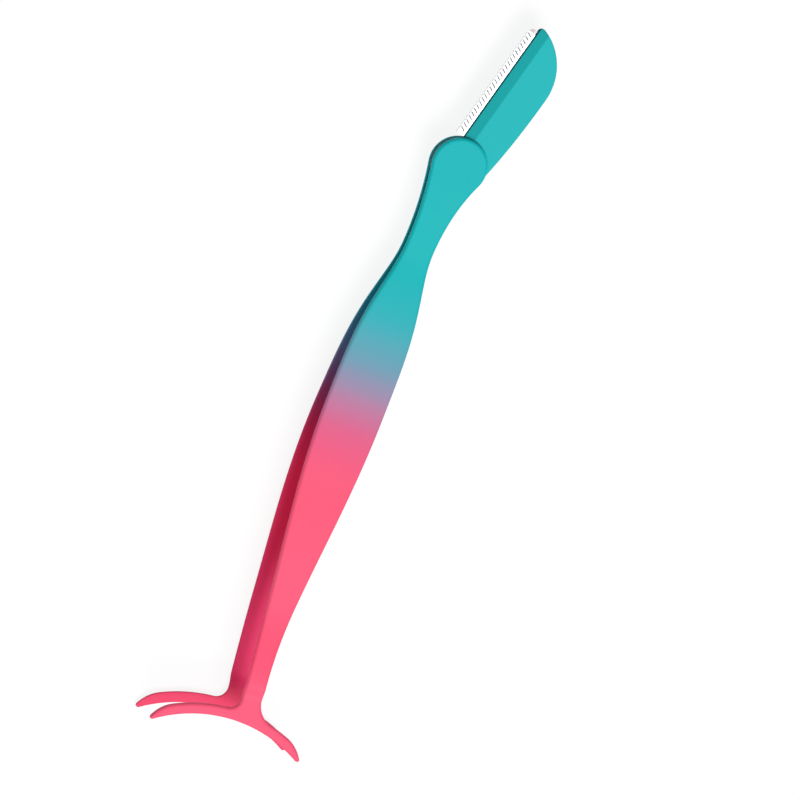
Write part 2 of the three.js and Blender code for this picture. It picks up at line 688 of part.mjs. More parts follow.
tweezers.add(piece('rear_pivot_washer', mirrored(mergeVertices(washer())), NYLON));

const razor = new THREE.Group();
razor.rotation.z = -RAZOR_TILT;
razor.add(piece('razor_holder_front', holderFront(), TEAL));
razor.add(piece('razor_holder_rear', holderRear(), TEAL));
razor.add(piece('razor_blade', razorBlade(), BLADE_STEEL));
razor.add(piece('blade_guard', bladeGuard(), STEEL));
tweezers.add(razor);

// The whole tool stands with the middle of its box over the origin and its lowest point on Z = 0
tweezers.updateMatrixWorld(true);
const box = new THREE.Box3().setFromObject(tweezers, true);
const middle = box.getCenter(new THREE.Vector3());
tweezers.position.set(-middle.x, -middle.y, -box.min.z);

export default tweezers;
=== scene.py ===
"""Lash tweezers with crescent jaws and a fold-away brow razor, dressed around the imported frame."""

import math

import bmesh
import bpy
from bpy.props import FloatProperty, FloatVectorProperty, IntProperty, PointerProperty
from mathutils import Matrix, Vector


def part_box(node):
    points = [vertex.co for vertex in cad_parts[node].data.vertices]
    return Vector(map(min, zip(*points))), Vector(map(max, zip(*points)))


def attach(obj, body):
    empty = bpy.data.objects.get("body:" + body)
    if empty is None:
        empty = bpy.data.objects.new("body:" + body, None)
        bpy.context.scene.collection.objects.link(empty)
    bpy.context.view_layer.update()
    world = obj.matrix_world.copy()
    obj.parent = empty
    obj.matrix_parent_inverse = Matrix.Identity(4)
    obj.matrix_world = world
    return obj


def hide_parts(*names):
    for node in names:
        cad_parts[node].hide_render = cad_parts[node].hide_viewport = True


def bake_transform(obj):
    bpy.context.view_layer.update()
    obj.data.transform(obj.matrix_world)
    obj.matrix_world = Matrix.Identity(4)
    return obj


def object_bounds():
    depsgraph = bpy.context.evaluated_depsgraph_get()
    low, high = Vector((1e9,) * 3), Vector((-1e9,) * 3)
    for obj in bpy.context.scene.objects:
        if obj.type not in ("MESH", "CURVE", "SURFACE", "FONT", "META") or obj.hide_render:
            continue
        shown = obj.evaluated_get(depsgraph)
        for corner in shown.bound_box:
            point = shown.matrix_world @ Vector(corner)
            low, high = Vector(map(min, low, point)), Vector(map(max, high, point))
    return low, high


bl_info = {
    "name": "Lash tweezers with brow razor",
    "version": (1, 0, 0),
    "blender": (4, 5, 0),
    "location": "View3D > Sidebar > Tweezers",
    "description": "Sprung tweezers with crescent jaws and a fold-away razor",
    "category": "Object",
}

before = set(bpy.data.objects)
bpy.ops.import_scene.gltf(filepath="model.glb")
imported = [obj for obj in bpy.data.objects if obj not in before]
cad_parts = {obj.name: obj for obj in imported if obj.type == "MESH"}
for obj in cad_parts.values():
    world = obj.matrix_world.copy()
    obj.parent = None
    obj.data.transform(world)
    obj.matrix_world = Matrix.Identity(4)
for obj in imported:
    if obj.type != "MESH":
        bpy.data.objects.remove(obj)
CAD_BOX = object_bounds()
PIVOT = sum(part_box("pivot_pin"), Vector()) / 2
HOLDER_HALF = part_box("razor_holder_front")[1].z - PIVOT.z
MM = 0.001
SLOPE_STEP = 0.01 * MM
CUT_TOLERANCE = 1e-6 * MM
WELD_DISTANCE = 1e-4 * MM
SHARP_ANGLE = math.radians(32)
FLAT_WEIGHT = 80


def length(name, description, millimetres):
    """A length property, given in millimetres and kept in metres."""
    return FloatProperty(
        name=name, description=description, default=millimetres * MM, unit="LENGTH", precision=5
    )


def turn(name, description, degrees):
    """An angle property, given in degrees."""
    return FloatProperty(
        name=name, description=description, default=math.radians(degrees), subtype="ANGLE"
    )


def share(name, description, value):
    """A plain factor."""
    return FloatProperty(name=name, description=description, default=value, min=0, soft_max=2)


def plain(name, description, value, unit="NONE"):
    """A number of either sign, with the unit that the panel shows for it."""
    return FloatProperty(name=name, description=description, default=value, unit=unit)


def count(name, description, value):
    """A number of steps."""
    return IntProperty(name=name, description=description, default=value, min=1)


def colour(name, description, code):
    """A colour property from a six-digit screen colour, made linear by the sRGB curve."""
    parts = [int(code[i : i + 2], 16) / 255 for i in (0, 2, 4)]
    linear = [p / 12.92 if p <= 0.04045 else ((p + 0.055) / 1.055) ** 2.4 for p in parts]
    return FloatVectorProperty(
        name=name, description=description, subtype="COLOR", size=3, min=0, max=1, default=linear
    )


class LeafShape(bpy.types.PropertyGroup):
    """Sizes of the two sprung leaves. Places are distances from the razor's pivot towards the jaws."""

    thickness: length("Thickness", "Thickness of the steel leaf", 1.2)
    gap: length("Heel gap", "Free height between the two heels", 1.8)
    outer_round: length("Outer round", "Radius along the edge of the outer face", 0.7)
    inner_break: length("Inner break", "Radius along the edge of the inner face", 0.15)
    rim: length("Rim", "Narrow flat band that ends each round", 0.1)
    arm_length: length("Arm length", "From the pivot to the crescent's outer arc", 123.65)
    belly_share: share("Belly place", "Widest place of the leaf, as a share of the arm", 0.453)
    straight_share: share("Straight share", "Where the straight part of the bow ends", 0.6065)
    camber_share: share("Camber place", "Where the centre line is furthest to the blade side", 0.8)
    head_radius: length("Head radius", "Radius of the round head over the pivot", 6.1)
    head_left: turn("Head left", "Where the blade side's neck leaves the head", 100)
    head_right: turn("Head right", "Where the other side's neck leaves the head", -116)
    neck_at: length("Neck place", "Narrowest place below the head", 19)
    neck_width: length("Neck width", "Width of the leaf at the neck", 6.4)
    neck_offset: length("Neck offset", "Sideways place of the neck's middle", 1.8)
    fullness: share("Shoulder fullness", "How soon the leaf widens below the neck", 1.88)
    belly_width: length("Belly width", "Greatest width of the leaf", 13.1)
    stem_length: length("Stem length", "From the end of the taper to the crescent", 6.15)
    stem_width: length("Stem width", "Width of the leaf at the stem", 4.45)
    camber: length("Camber", "Greatest sideways place of the centre line", 4.25)
    stem_drop: length("Stem drop", "How far the centre line turns back at the stem", 1)
    flex_at: length("Flex place", "Line about which the arm springs", 20)
    flex_length: length("Flex length", "Length of leaf over which the arm bends when squeezed", 5)
    ramp_length: length("Ramp", "Length over which the leaf leaves the heel's plane", 5)
    arm_height: length("Arm height", "Height of the stem above the middle plane", 7)
    jaw_height: length("Jaw height", "Height of the jaw above the middle plane", 6.2)
    crease_length: length("Crease", "Length of the bend between stem and jaw", 3)
    jaw_clearance: length("Jaw clearance", "Gap left between the closed jaws", 0.1)
    jaw_radius: length("Jaw radius", "Radius of the gripping edge", 31.2)
    jaw_band: length("Jaw band", "Width of the crescent at the stem", 2.3)
    jaw_tip_band: length("Tip band", "Width of the crescent at its tips", 0.95)
    jaw_flank: length("Flank radius", "Radius of the flank that brings a horn in to its tip", 8)
    jaw_span: length("Jaw span", "Distance over the two tips", 34.08)
    jaw_offset: length("Jaw offset", "Sideways place of the crescent's centre", 4.6)
    jaw_turn: turn("Jaw turn", "Turn of the crescent in the leaf's plane", 2.2)
    fillet_left: length("Left fillet", "Round between stem and crescent, blade side", 2.5)
    fillet_right: length("Right fillet", "Round between stem and crescent, other side", 5)
    ribs: count("Ribs", "Steps along the arm", 84)
    round_steps: count("Round steps", "Steps round the outer edge", 6)
    break_steps: count("Break steps", "Steps round the inner edge", 2)


class RazorShape(bpy.types.PropertyGroup):
    """Sizes of the razor in its own frame: x along the holder from the pivot, y to the blade."""

    tilt: turn("Tilt", "Turn of the open razor away from the blade side", 15.5)
    blade_side: length("Blade side", "Place of the holder's straight side", 2.8)
    back: length("Back", "Depth of the holder behind the pivot line", 7.35)
    back_full_at: length("Back full at", "Where the back's curve is drawn to its full depth", 9.5)
    nose_radius: length("Nose radius", "Radius of the round nose", 12.45)
    nose_at: length("Nose place", "Middle of the nose's round", 21.85)
    tip_round: length("Tip round", "Radius where the nose meets the blade side", 0.9)
    tang_radius: length("Tang radius", "Radius of the round tang in the head", 6)
    bevel_width: length("Bevel width", "Width of the bevel along the blade", 2.5)
    bevel_drop: length("Bevel drop", "How far the bevel falls at the blade side", 0.22)
    bevel_fade: length("Bevel fade", "Length over which the bevel starts, under the head", 1.2)
    edge_round: length("Edge round", "Radius along the edge of the face", 0.26)
    seam_break: length("Seam break", "Chamfer where the two halves meet", 0.07)
    rim: length("Rim", "Narrow flat band that ends the round", 0.06)
    # Painted shadow: the dark line stands in for the shade in the gap between the holder and the blade
    blade_gap_shadow_width: length("Seam width", "Dark line along the blade side, seen from the face", 0.34)
    crease_soft: length("Crease softness", "Half the width of the soft line where the bevel starts", 0.12)
    pivot_hole: length("Pivot hole", "Radius of the hole for the pivot", 1.28)
    stop_reach: length("Stop reach", "Distance of the stop slot from the pivot", 4.2)
    stop_width: length("Stop half width", "Half the width of the stop slot", 0.78)
    stop_seat: turn("Stop seat", "Where the stop pin sits with the razor open", 240)
    fold: turn("Fold", "Turn of the razor from open to folded", 176)
    blade_start: length("Blade start", "End of the blade next to the head", 5.7)
    blade_root: length("Blade root", "Back edge of the blade in its pocket", -1)
    blade_wall: length("Nose wall", "Plastic between the blade's end and the nose", 1.4)
    blade_tip_round: length("Blade corner", "Radius of the blade's far corner", 0.9)
    seat_clearance: length("Seat clearance", "Gap round the blade and the guard in the pocket", 0.03)
    blade_thickness: length("Blade thickness", "Thickness of the blade's steel", 0.2)
    blade_edge: length("Blade edge", "Place of the cutting edge", 4.3)
    grind_width: length("Grind width", "Width of the ground strip along the edge", 1.0)
    post_radius: length("Post radius", "Radius of the posts that hold the blade", 0.6)
    post_offset: length("Post offset", "Sideways place of the posts", 0.5)
    post_first: length("First post", "Place of the post next to the head", 13)
    post_second: length("Second post", "Place of the post next to the nose", 25)
    post_top: length("Post height", "Height of a post above the middle plane", 0.42)
    post_root: share("Post root", "How deep a post is rooted, as a share of the half's depth", 0.7)
    post_clearance: length("Post clearance", "Gap round a post", 0.08)
    guard_end: length("Guard end", "End of the comb guard next to the nose", 31.8)
    guard_root: length("Guard root", "Edge of the guard inside the pocket", 1.7)
    guard_lap: length("Guard lap", "How far the guard stands past the cutting edge", 0.4)
    guard_foil: length("Guard foil", "Thickness of the guard's sheet", 0.12)
    guard_slot: length("Guard slot", "Width of a slot between two teeth", 0.46)
    guard_depth: length("Slot depth", "Depth of a slot from the crest", 1.4)
    guard_lean: turn("Slot lean", "Lean of the slots towards the nose", 25)
    guard_teeth: count("Guard teeth", "Number of teeth along the comb", 28)


class Finishes(bpy.types.PropertyGroup):
    """Colours of the paints, plastics and metals, and of the shade and shadow painted into some of them."""

    fade_teal: colour("Teal", "Paint at the heel", "00B9BD")
    fade_first: colour("First blend", "Paint where the fade begins to show", "42B1BD")
    fade_lilac: colour("Lilac", "Paint in the upper part of the fade", "7D9CB6")
    fade_mauve: colour("Mauve", "Paint in the lower part of the fade", "B385A9")
    fade_rose: colour("Rose", "Paint where the fade ends", "E2658F")
    fade_pink: colour("Pink", "Paint from the belly to the jaws", "FF5A7C")
    # Painted shade: a deeper pink where the bent stem takes less light
    stem_shade_pink: colour("Stem pink", "Slightly deeper paint on the stem", "FF4E72")
    # Painted shade: the inner colours are deeper than the outer ones and stand in for the shade and bounce
    # light between the two leaves
    inner_shade_teal: colour("Inner teal", "Paint inside the leaf at the heel", "19BAC5")
    inner_shade_blue: colour("Inner blue", "Paint inside the leaf where the fade begins", "4AA7C2")
    inner_shade_lilac: colour("Inner lilac", "Paint inside the leaf in the upper part of the fade", "848FB9")
    inner_shade_plum: colour("Inner plum", "Paint inside the leaf in the lower part of the fade", "AB669B")
    inner_shade_rose: colour("Inner rose", "Paint inside the leaf where the fade ends", "DE4580")
    inner_shade_pink: colour("Inner pink", "Deeper paint inside the leaf down to the stem", "FF3F78")
    inner_shade_jaw: colour("Inner jaw", "Paint inside the crescent", "EE4069")
    holder_teal: colour("Holder teal", "Plastic of the razor's holder", "20BCC0")
    # Painted shade: a darker teal on the bevel, which faces away from the light
    bevel_shade_teal: colour("Bevel teal", "Thin plastic over the blade, along the bevel", "00A5A7")
    # Painted shadow: the dark line stands in for the shade in the gap between the holder and the blade
    blade_gap_shadow_teal: colour("Seam teal", "Dark line where the holder closes on the blade", "07565B")
    spacer_teal: colour("Spacer teal", "Plastic of the spacer between the heels", "04ACB1")
    pin_grey: colour("Pin steel", "Drawn steel of the pins", "C9CCCF")
    blade_grey: colour("Blade steel", "Flat of the blade", "8C8688")
    grind_grey: colour("Ground edge", "Ground strip along the cutting edge", "6B696D")
    guard_grey: colour("Guard steel", "Sheet of the comb guard", "D6D8DA")
    nylon_white: colour("Nylon", "Washers beside the pivot", "EEEEEA")


class StageSetup(bpy.types.PropertyGroup):
    """Camera, light and floor."""

    lens: plain("Lens", "Focal length in millimetres", 1000, "CAMERA")
    sensor: plain("Sensor", "Width of the camera's sensor in millimetres", 36, "CAMERA")
    sight: length("Sight", "How far the camera sees", 20000)
    field: length("Field", "Width of the picture at the object", 168.61)
    azimuth: turn("Azimuth", "Turn of the camera round the object", 73.129)
    elevation: turn("Elevation", "Height of the camera over the horizon", 72.904)
    roll: turn("Roll", "Turn of the picture about the view", 126.766)
    aim_right: length("Aim right", "Picture's middle, to the right of the pivot", -12.19)
    aim_up: length("Aim up", "Picture's middle, above the pivot", -49.475)
    ambient: share("Ambient", "Level of the light from all round", 0.26)
    key_power: plain("Key power", "Power of the soft lamp by the camera", 34, "POWER")
    key_right: plain("Key right", "Lean of the lamp to the right of the view", 0.3)
    key_up: plain("Key up", "Lean of the lamp to the top of the view", -0.65)
    key_distance: length("Key distance", "From the lamp to the picture's middle", 2000)
    key_size: length("Key size", "Side of the square lamp", 1000)
    floor_size: length("Floor size", "Half the side of the floor", 6000)
    floor_drop: length("Floor drop", "Gap between the object and the floor", 0.2)
    floor_grey: share("Floor grey", "Grey of the floor where it takes shadow", 0.7)
    floor_white: share("Floor white", "Strength of the floor's own white", 1.1)
    floor_glow: share("Floor glow", "How much of the floor's white doesn't take shadow", 0.8)


# Plain geometry


def clamp(value, low, high):
    """A number kept between two others."""
    return min(max(value, low), high)


def ease(value):
    """A smooth rise from 0 to 1, level at both ends."""
    return (1 - math.cos(math.pi * clamp(value, 0, 1))) / 2


def steps(start, end, number):
    """Equal steps from one number to another, both included."""
    return [start + (end - start) * i / number for i in range(number + 1)]


def polar(radius, angle, centre=(0, 0)):
    """The point at an angle round a centre."""
    return Vector((centre[0] + radius * math.cos(angle), centre[1] + radius * math.sin(angle)))


def arc(centre, radius, start, end, number):
    """Points of an arc from one angle to another."""
    return [polar(radius, angle, centre) for angle in steps(start, end, number)]


def quadratic(a, control, b, number):
    """Points of a curve that leaves a and reaches b in line with the control point."""
    return [
        a * (1 - t) ** 2 + control * (2 * t * (1 - t)) + b * t**2 for t in steps(0, 1, number)
    ]


def inward(points):
    """Direction into the material at each point of a closed outline that runs counter-clockwise."""
    ways = []
    for i, point in enumerate(points):
        before = (point - points[i - 1]).normalized()
        after = (points[(i + 1) % len(points)] - point).normalized()
        along = (before + after).normalized()
        ways.append(Vector((-along.y, along.x)))
    return ways


def round_over(radius, top, number):
    """Inset and height of each ring of a rounded edge, from the side up to the top."""
    angles = steps(0, math.pi / 2, number)
    return [(radius * (1 - math.cos(a)), top - radius * (1 - math.sin(a))) for a in angles]


def ring_faces(rings):
    """Corners of the faces between each closed ring of vertices and the next one."""
    for low, high in zip(rings, rings[1:]):
        for i in range(len(low)):
            yield [low[i - 1], low[i], high[i], high[i - 1]]


class LeafPlan:
    """Outline, bow and edge rounds of the front leaf, in metres from the pivot. The rear one mirrors it."""

    NECK_STEPS = 18
    HEAD_STEPS = 60
    CREASE_STEPS = 8
    FILLET_STEPS = 12
    HORN_STEPS = 20
    FLANK_STEPS = 12
    TIP_STEPS = 10
    JUNCTION_STEPS = 10

    def __init__(self, sizes):
        s = self.s = sizes
        self.belly_at = s.arm_length * s.belly_share
        self.straight_to = s.arm_length * s.straight_share
        self.camber_at = s.arm_length * s.camber_share
        self.stem_at = s.arm_length - s.stem_length
        self.jaw_flat_at = self.stem_at + s.crease_length
        self.heel_height = (s.gap + s.thickness) / 2
        curved = (self.stem_at - self.straight_to) / 2
        run = self.straight_to - s.flex_at - s.ramp_length / 2 + curved
        self.slope = (s.arm_height - self.heel_height) / run
        drop = s.jaw_height - (s.thickness + s.jaw_clearance) / 2
        self.squeeze = math.asin(drop / (self.jaw_flat_at - s.flex_at))
        self.jaw_outer = s.jaw_radius + s.jaw_band
        self.jaw_centre = Vector((-s.arm_length - self.jaw_outer, s.jaw_offset))
        self.tip_middle = s.jaw_radius + s.jaw_tip_band / 2
        self.joint_angle = {}

    def half_width(self, at):
        """Half the width of the leaf at a place below the neck."""
        s = self.s
        if at < self.belly_at:
            left = 1 - clamp((at - s.neck_at) / (self.belly_at - s.neck_at), 0, 1)
            return (s.neck_width + (s.belly_width - s.neck_width) * ease(1 - left**s.fullness)) / 2
        part = ease((at - self.belly_at) / (self.stem_at - self.belly_at))
        return (s.belly_width + (s.stem_width - s.belly_width) * part) / 2

    def centre_line(self, at):
        """Sideways place of the leaf's middle."""
        s = self.s
        if at < self.camber_at:
            part = (self.camber_at - at) / (self.camber_at - s.neck_at)
            return s.camber - (s.camber - s.neck_offset) * part**2
        return s.camber - s.stem_drop * ((at - self.camber_at) / (self.stem_at - self.camber_at)) ** 2

    def edge(self, at, side):
        """A point on the leaf's edge: side is 1 on the blade side and -1 on the other."""
        return Vector((-at, self.centre_line(at) + side * self.half_width(at)))

    def height(self, at):
        """Height of the leaf's middle above the plane between the leaves."""
        s = self.s
        flat = self.stem_at - self.straight_to
        ramp = clamp(at - s.flex_at, 0, s.ramp_length)
        straight = clamp(at - s.flex_at - s.ramp_length, 0, self.straight_to - s.flex_at - s.ramp_length)
        bend = clamp(at - self.straight_to, 0, flat)
        rise = ramp**2 / (2 * s.ramp_length) + straight + bend - bend**2 / (2 * flat)
        crease = (s.arm_height - s.jaw_height) * ease((at - self.stem_at) / s.crease_length)
        flare = math.tan(self.squeeze) * max(at - self.jaw_flat_at, 0)
        return self.heel_height + self.slope * rise - crease + flare

    def neck(self, side, angle):
        """The neck's edge from the head's circle down to the neck."""
        s = self.s
        head = polar(s.head_radius, angle)
        neck = self.edge(s.neck_at, side)
        head_way = Vector((-math.sin(angle), math.cos(angle)))
        neck_way = self.edge(s.neck_at + SLOPE_STEP, side) - neck
        gap = neck - head
        reach = gap.cross(neck_way) / head_way.cross(neck_way)
        return quadratic(head, head + head_way * reach, neck, self.NECK_STEPS)

    def tip_angle(self, side):
        """Angle of a horn's tip round the crescent's centre."""
        s = self.s
        return s.jaw_turn + side * math.asin((s.jaw_span - s.jaw_tip_band) / 2 / self.tip_middle)

    def root(self, side):
        """One edge from the head to the end of the round between stem and crescent."""
        s = self.s
        points = self.neck(side, s.head_left if side > 0 else s.head_right)
        points += [self.edge(at, side) for at in steps(s.neck_at, self.stem_at, s.ribs)[1:]]
        radius = s.fillet_left if side > 0 else s.fillet_right
        start = points[-1]
        along = (start - self.edge(self.stem_at - SLOPE_STEP, side)).normalized()
        out = Vector((along.y, -along.x)) * side
        base = start + out * radius
        gap = base - self.jaw_centre
        near = gap.dot(along)
        reach = -near - math.sqrt(near**2 - gap.length_squared + (self.jaw_outer + radius) ** 2)
        centre = base + along * reach
        first = math.atan2(-out.y, -out.x)
        to_jaw = self.jaw_centre - centre
        sweep = (side * (first - math.atan2(to_jaw.y, to_jaw.x))) % math.tau
        fillet = arc(centre, radius, first, first - side * sweep, self.FILLET_STEPS)
        points += [start.lerp(fillet[0], t) for t in steps(0, 1, self.CREASE_STEPS)[1:-1]]
        self.joint_angle[side] = math.atan2(centre.y - self.jaw_centre.y, centre.x - self.jaw_centre.x)
        return points + fillet

    def horn(self, side):
        """Outer edge of a horn with the flank that brings it in, and the round of its tip."""
        s = self.s
        angle = self.tip_angle(side)
        reach = self.jaw_outer - s.jaw_flank
        to_tip = s.jaw_flank - s.jaw_tip_band / 2
        sides = reach**2 + self.tip_middle**2 - to_tip**2
        first = angle - side * math.acos(sides / (2 * reach * self.tip_middle))
        centre = polar(reach, first, self.jaw_centre)
        middle = polar(self.tip_middle, angle, self.jaw_centre)
        last = math.atan2(middle.y - centre.y, middle.x - centre.x)
        outer = arc(self.jaw_centre, self.jaw_outer, self.joint_angle[side], first, self.HORN_STEPS)[1:]
        outer += arc(centre, s.jaw_flank, first, last, self.FLANK_STEPS)[1:]
        tip = arc(middle, s.jaw_tip_band / 2, last, angle + side * math.pi, self.TIP_STEPS)[1:-1]
        return outer, tip

    def grip_point(self, point):
        """The point of the gripping edge across from a point of the outer edge."""
        angle = math.atan2(point.y - self.jaw_centre.y, point.x - self.jaw_centre.x)
        angle = clamp(angle, self.tip_angle(-1), self.tip_angle(1))
        return polar(self.s.jaw_radius, angle, self.jaw_centre)

    def across(self, radius):
        """Points on the crescent between the two rounds of the stem."""
        angles = steps(self.joint_angle[1], self.joint_angle[-1], self.JUNCTION_STEPS)
        return [polar(radius, angle, self.jaw_centre) for angle in angles]

    def outline(self):
        """The whole outline, counter-clockwise, with the indices of its runs and how far rounds shrink."""
        s = self.s
        left = self.root(1)
        right = self.root(-1)
        left_horn, left_tip = self.horn(1)
        right_horn, right_tip = self.horn(-1)
        outer = [*left_horn[::-1], *self.across(self.jaw_outer), *right_horn]
        grip = [self.grip_point(point) for point in outer]
        head = arc((0, 0), s.head_radius, s.head_right, s.head_left, self.HEAD_STEPS)[1:-1]
        runs = {
            "left": left,
            "left_horn": left_horn,
            "left_tip": left_tip,
            "grip": grip,
            "right_tip": right_tip[::-1],
            "right_horn": right_horn[::-1],
            "right": right[::-1],
            "head": head,
        }
        points, index = [], {}
        for name, run in runs.items():
            index[name] = list(range(len(points), len(points) + len(run)))
            points += run
        shares = [1.0] * len(points)
        widths = [(a - b).length for a, b in zip(outer, grip)]
        horns = len(left_horn)
        slim = [
            *zip(index["grip"], widths),
            *zip(index["left_horn"], widths[:horns][::-1]),
            *zip(index["right_horn"], widths[-horns:][::-1]),
            *((i, s.jaw_tip_band) for i in index["left_tip"] + index["right_tip"]),
        ]
        for i, width in slim:
            shares[i] = min(1.0, (width / 2 - s.inner_break) / s.outer_round)
        return points, index, shares

    def rings(self):
        """Inset and height of each ring of the edge, from the inner face to the outer one."""
        s = self.s
        half = s.thickness / 2
        inner = round_over(s.inner_break, half, s.break_steps)
        return [
            (s.inner_break + s.rim, -half),
            *((inset, -height) for inset, height in reversed(inner)),
            *round_over(s.outer_round, half, s.round_steps),
            (s.outer_round + s.rim, half),
        ]


def leaf_mesh(sizes, mirror):
    """Mesh of one leaf from head to jaw. mirror is 1 for the front leaf and -1 for the rear one."""
    plan = LeafPlan(sizes)
    points, index, shares = plan.outline()
    ways = [way * part for way, part in zip(inward(points), shares)]
    bm = bmesh.new()
    uv = bm.loops.layers.uv.new("along")
    inside = bm.verts.layers.float.new("inside")

    def vertex(place, height):
        z = plan.height(-place.x) + height
        return bm.verts.new(PIVOT + Vector((place.x, place.y, mirror * z)))

    def face(corners):
        made = bm.faces.new(corners if mirror > 0 else corners[::-1])
        made.smooth = True

    places, rows = [], []
    for inset, height in plan.rings():
        places.append([p + way * inset for p, way in zip(points, ways)])
        rows.append([vertex(place, height) for place in places[-1]])
    for corners in ring_faces(rows):
        face(corners)
    # The inner face's painted shade runs on over its broken edge
    for row in rows[: sizes.break_steps + 2]:
        for corner in row:
            corner[inside] = 1

    def cap(row, flat, inset, height, upward):
        """Closes one face: head, ribs, the round that runs out into the crescent, crescent and tips."""
        left = index["left"]
        right = index["right"][::-1]
        ends = len(left) - 1
        ring = [left[0], *index["head"][::-1], right[0]]
        faces = []
        for i in range(len(ring) // 2):
            corners = [ring[i], ring[-1 - i], ring[-2 - i], ring[i + 1]]
            faces.append([row[c] for c in dict.fromkeys(corners)])
        faces = [corners for corners in faces if len(corners) > 2]
        for i in range(ends - plan.FILLET_STEPS):
            faces.append([row[left[i]], row[left[i + 1]], row[right[i + 1]], row[right[i]]])
        arch = plan.across(plan.jaw_outer - inset)
        before = [row[left[ends - plan.FILLET_STEPS]], row[right[ends - plan.FILLET_STEPS]]]
        for k in range(1, plan.FILLET_STEPS + 1):
            i = ends - plan.FILLET_STEPS + k
            now = [row[left[i]]]
            for j in range(1, plan.JUNCTION_STEPS):
                t = j / plan.JUNCTION_STEPS
                bulge = arch[j] - arch[0].lerp(arch[-1], t)
                chord = flat[left[i]].lerp(flat[right[i]], t)
                now.append(vertex(chord + bulge * (k / plan.FILLET_STEPS) ** 2, height))
            now.append(row[right[i]])
            if k == 1:
                faces.append([before[0], *now, before[1]])
            else:
                faces += [[a, b, d, c] for a, b, c, d in zip(before, now, before[1:], now[1:])]
            before = now
        run = {name: [row[i] for i in indices] for name, indices in index.items()}
        grip = run["grip"]
        outer = [*reversed(run["left_horn"]), *before, *reversed(run["right_horn"])]
        faces += [[a, c, d, b] for a, b, c, d in zip(outer, outer[1:], grip, grip[1:])]
        faces.append([outer[0], *run["left_tip"], grip[0]])
        faces.append([grip[-1], *run["right_tip"], outer[-1]])
        for corners in faces:
            face(corners if upward else corners[::-1])
            for corner in corners:
                corner[inside] = 0 if upward else 1

    cap(rows[0], places[0], *plan.rings()[0], False)
    cap(rows[-1], places[-1], *plan.rings()[-1], True)
    for f in bm.faces:
        for loop in f.loops:
            place = loop.vert.co - PIVOT
            loop[uv].uv = (-place.x / sizes.arm_length, place.y / sizes.arm_length)
    return bm


# The razor, in its own frame, with the steps of its round stretches

NOSE_STEPS = 48
CORNER_STEPS = 16
TANG_STEPS = 72
BACK_STEPS = 40
TRACK_STEPS = 40
HOLE_STEPS = 48
POST_STEPS = 32
EDGE_STEPS = 4
FADE_STEPS = 6
FOLD_STEPS = 10
SLOT_STEPS = 6


def razor_place(sizes):
    """Matrix from the razor's own frame, open, to the row frame."""
    return Matrix.Translation(PIVOT) @ Matrix.Rotation(-sizes.tilt, 4, "Z")


def circle(centre, radius, number):
    """Points of a full circle."""
    return arc(centre, radius, 0, math.tau, number)[:-1]


def nose_points(sizes, radius, start, side, corner):
    """Round nose from an angle on to a straight side, with the corner rounded."""
    height = sizes.nose_radius - sizes.back
    inner = radius - corner
    end = math.asin((side - corner - height) / inner)
    points = arc((sizes.nose_at, height), radius, start, end, NOSE_STEPS)
    middle = (sizes.nose_at + inner * math.cos(end), side - corner)
    return points + arc(middle, corner, end, math.pi / 2, CORNER_STEPS)[1:]


def holder_points(sizes):
    """Outline of the holder, counter-clockwise from the bottom of the nose."""
    points = nose_points(sizes, sizes.nose_radius, -math.pi / 2, sizes.blade_side, sizes.tip_round)
    tang_end = math.asin(sizes.blade_side / sizes.tang_radius)
    points += arc((0, 0), sizes.tang_radius, tang_end, 1.5 * math.pi, TANG_STEPS)
    back = quadratic(
        Vector((0, -sizes.tang_radius)),
        Vector((sizes.back_full_at, -sizes.back)),
        Vector((sizes.nose_at, -sizes.back)),
        BACK_STEPS,
    )
    return points + back[1:-1]


def pocket_points(sizes):
    """Outline of the blade's pocket, open past the blade side."""
    gap = sizes.seat_clearance
    radius = sizes.nose_radius - sizes.blade_wall + gap
    root = sizes.blade_root - gap
    height = sizes.nose_radius - sizes.back
    side = sizes.blade_side + sizes.bevel_width
    points = nose_points(sizes, radius, math.asin((root - height) / radius), side, sizes.blade_tip_round)
    start = sizes.blade_start - gap
    return points + [Vector((start, side)), Vector((start, root))]


def track_points(sizes):
    """Outline of the curved slot in which the stop pin runs."""
    start = sizes.stop_seat - sizes.fold
    end = sizes.stop_seat
    width = sizes.stop_width
    reach = sizes.stop_reach
    points = arc((0, 0), reach + width, start, end, TRACK_STEPS)
    points += arc(polar(reach, end), width, end, end + math.pi, CORNER_STEPS)[1:-1]
    points += arc((0, 0), reach - width, end, start, TRACK_STEPS)
    points += arc(polar(reach, start), width, start + math.pi, start + math.tau, CORNER_STEPS)[1:-1]
    return points


def link_object(name, data):
    """An object of the scene from its data."""
    made = bpy.data.objects.new(name, data)
    bpy.context.scene.collection.objects.link(made)
    return made


def new_object(name, bm):
    """An object of the scene from a mesh in the making, which is used up."""
    mesh = bpy.data.meshes.new(name)
    bm.to_mesh(mesh)
    bm.free()
    return link_object(name, mesh)


def stack(points, rows):
    """A closed mesh over an outline, which is drawn in by each row's inset at that row's height."""
    ways = inward(points)
    bm = bmesh.new()
    rings = []
    for inset, height in rows:
        rings.append([bm.verts.new((*(p + way * inset), height)) for p, way in zip(points, ways)])
    for corners in (rings[0][::-1], *ring_faces(rings), rings[-1]):
        bm.faces.new(corners)
    return bm


def prism(name, points, low, high):
    """A straight-sided object over an outline, used to cut or to join."""
    return new_object(name, stack(points, [(0, low), (0, high)]))


def posts(sizes, radius, low, high):
    """Round prisms at the places of the two posts that hold the blade."""
    places = [(at, sizes.post_offset) for at in (sizes.post_first, sizes.post_second)]
    return [prism("post", circle(place, radius, POST_STEPS), low, high) for place in places]


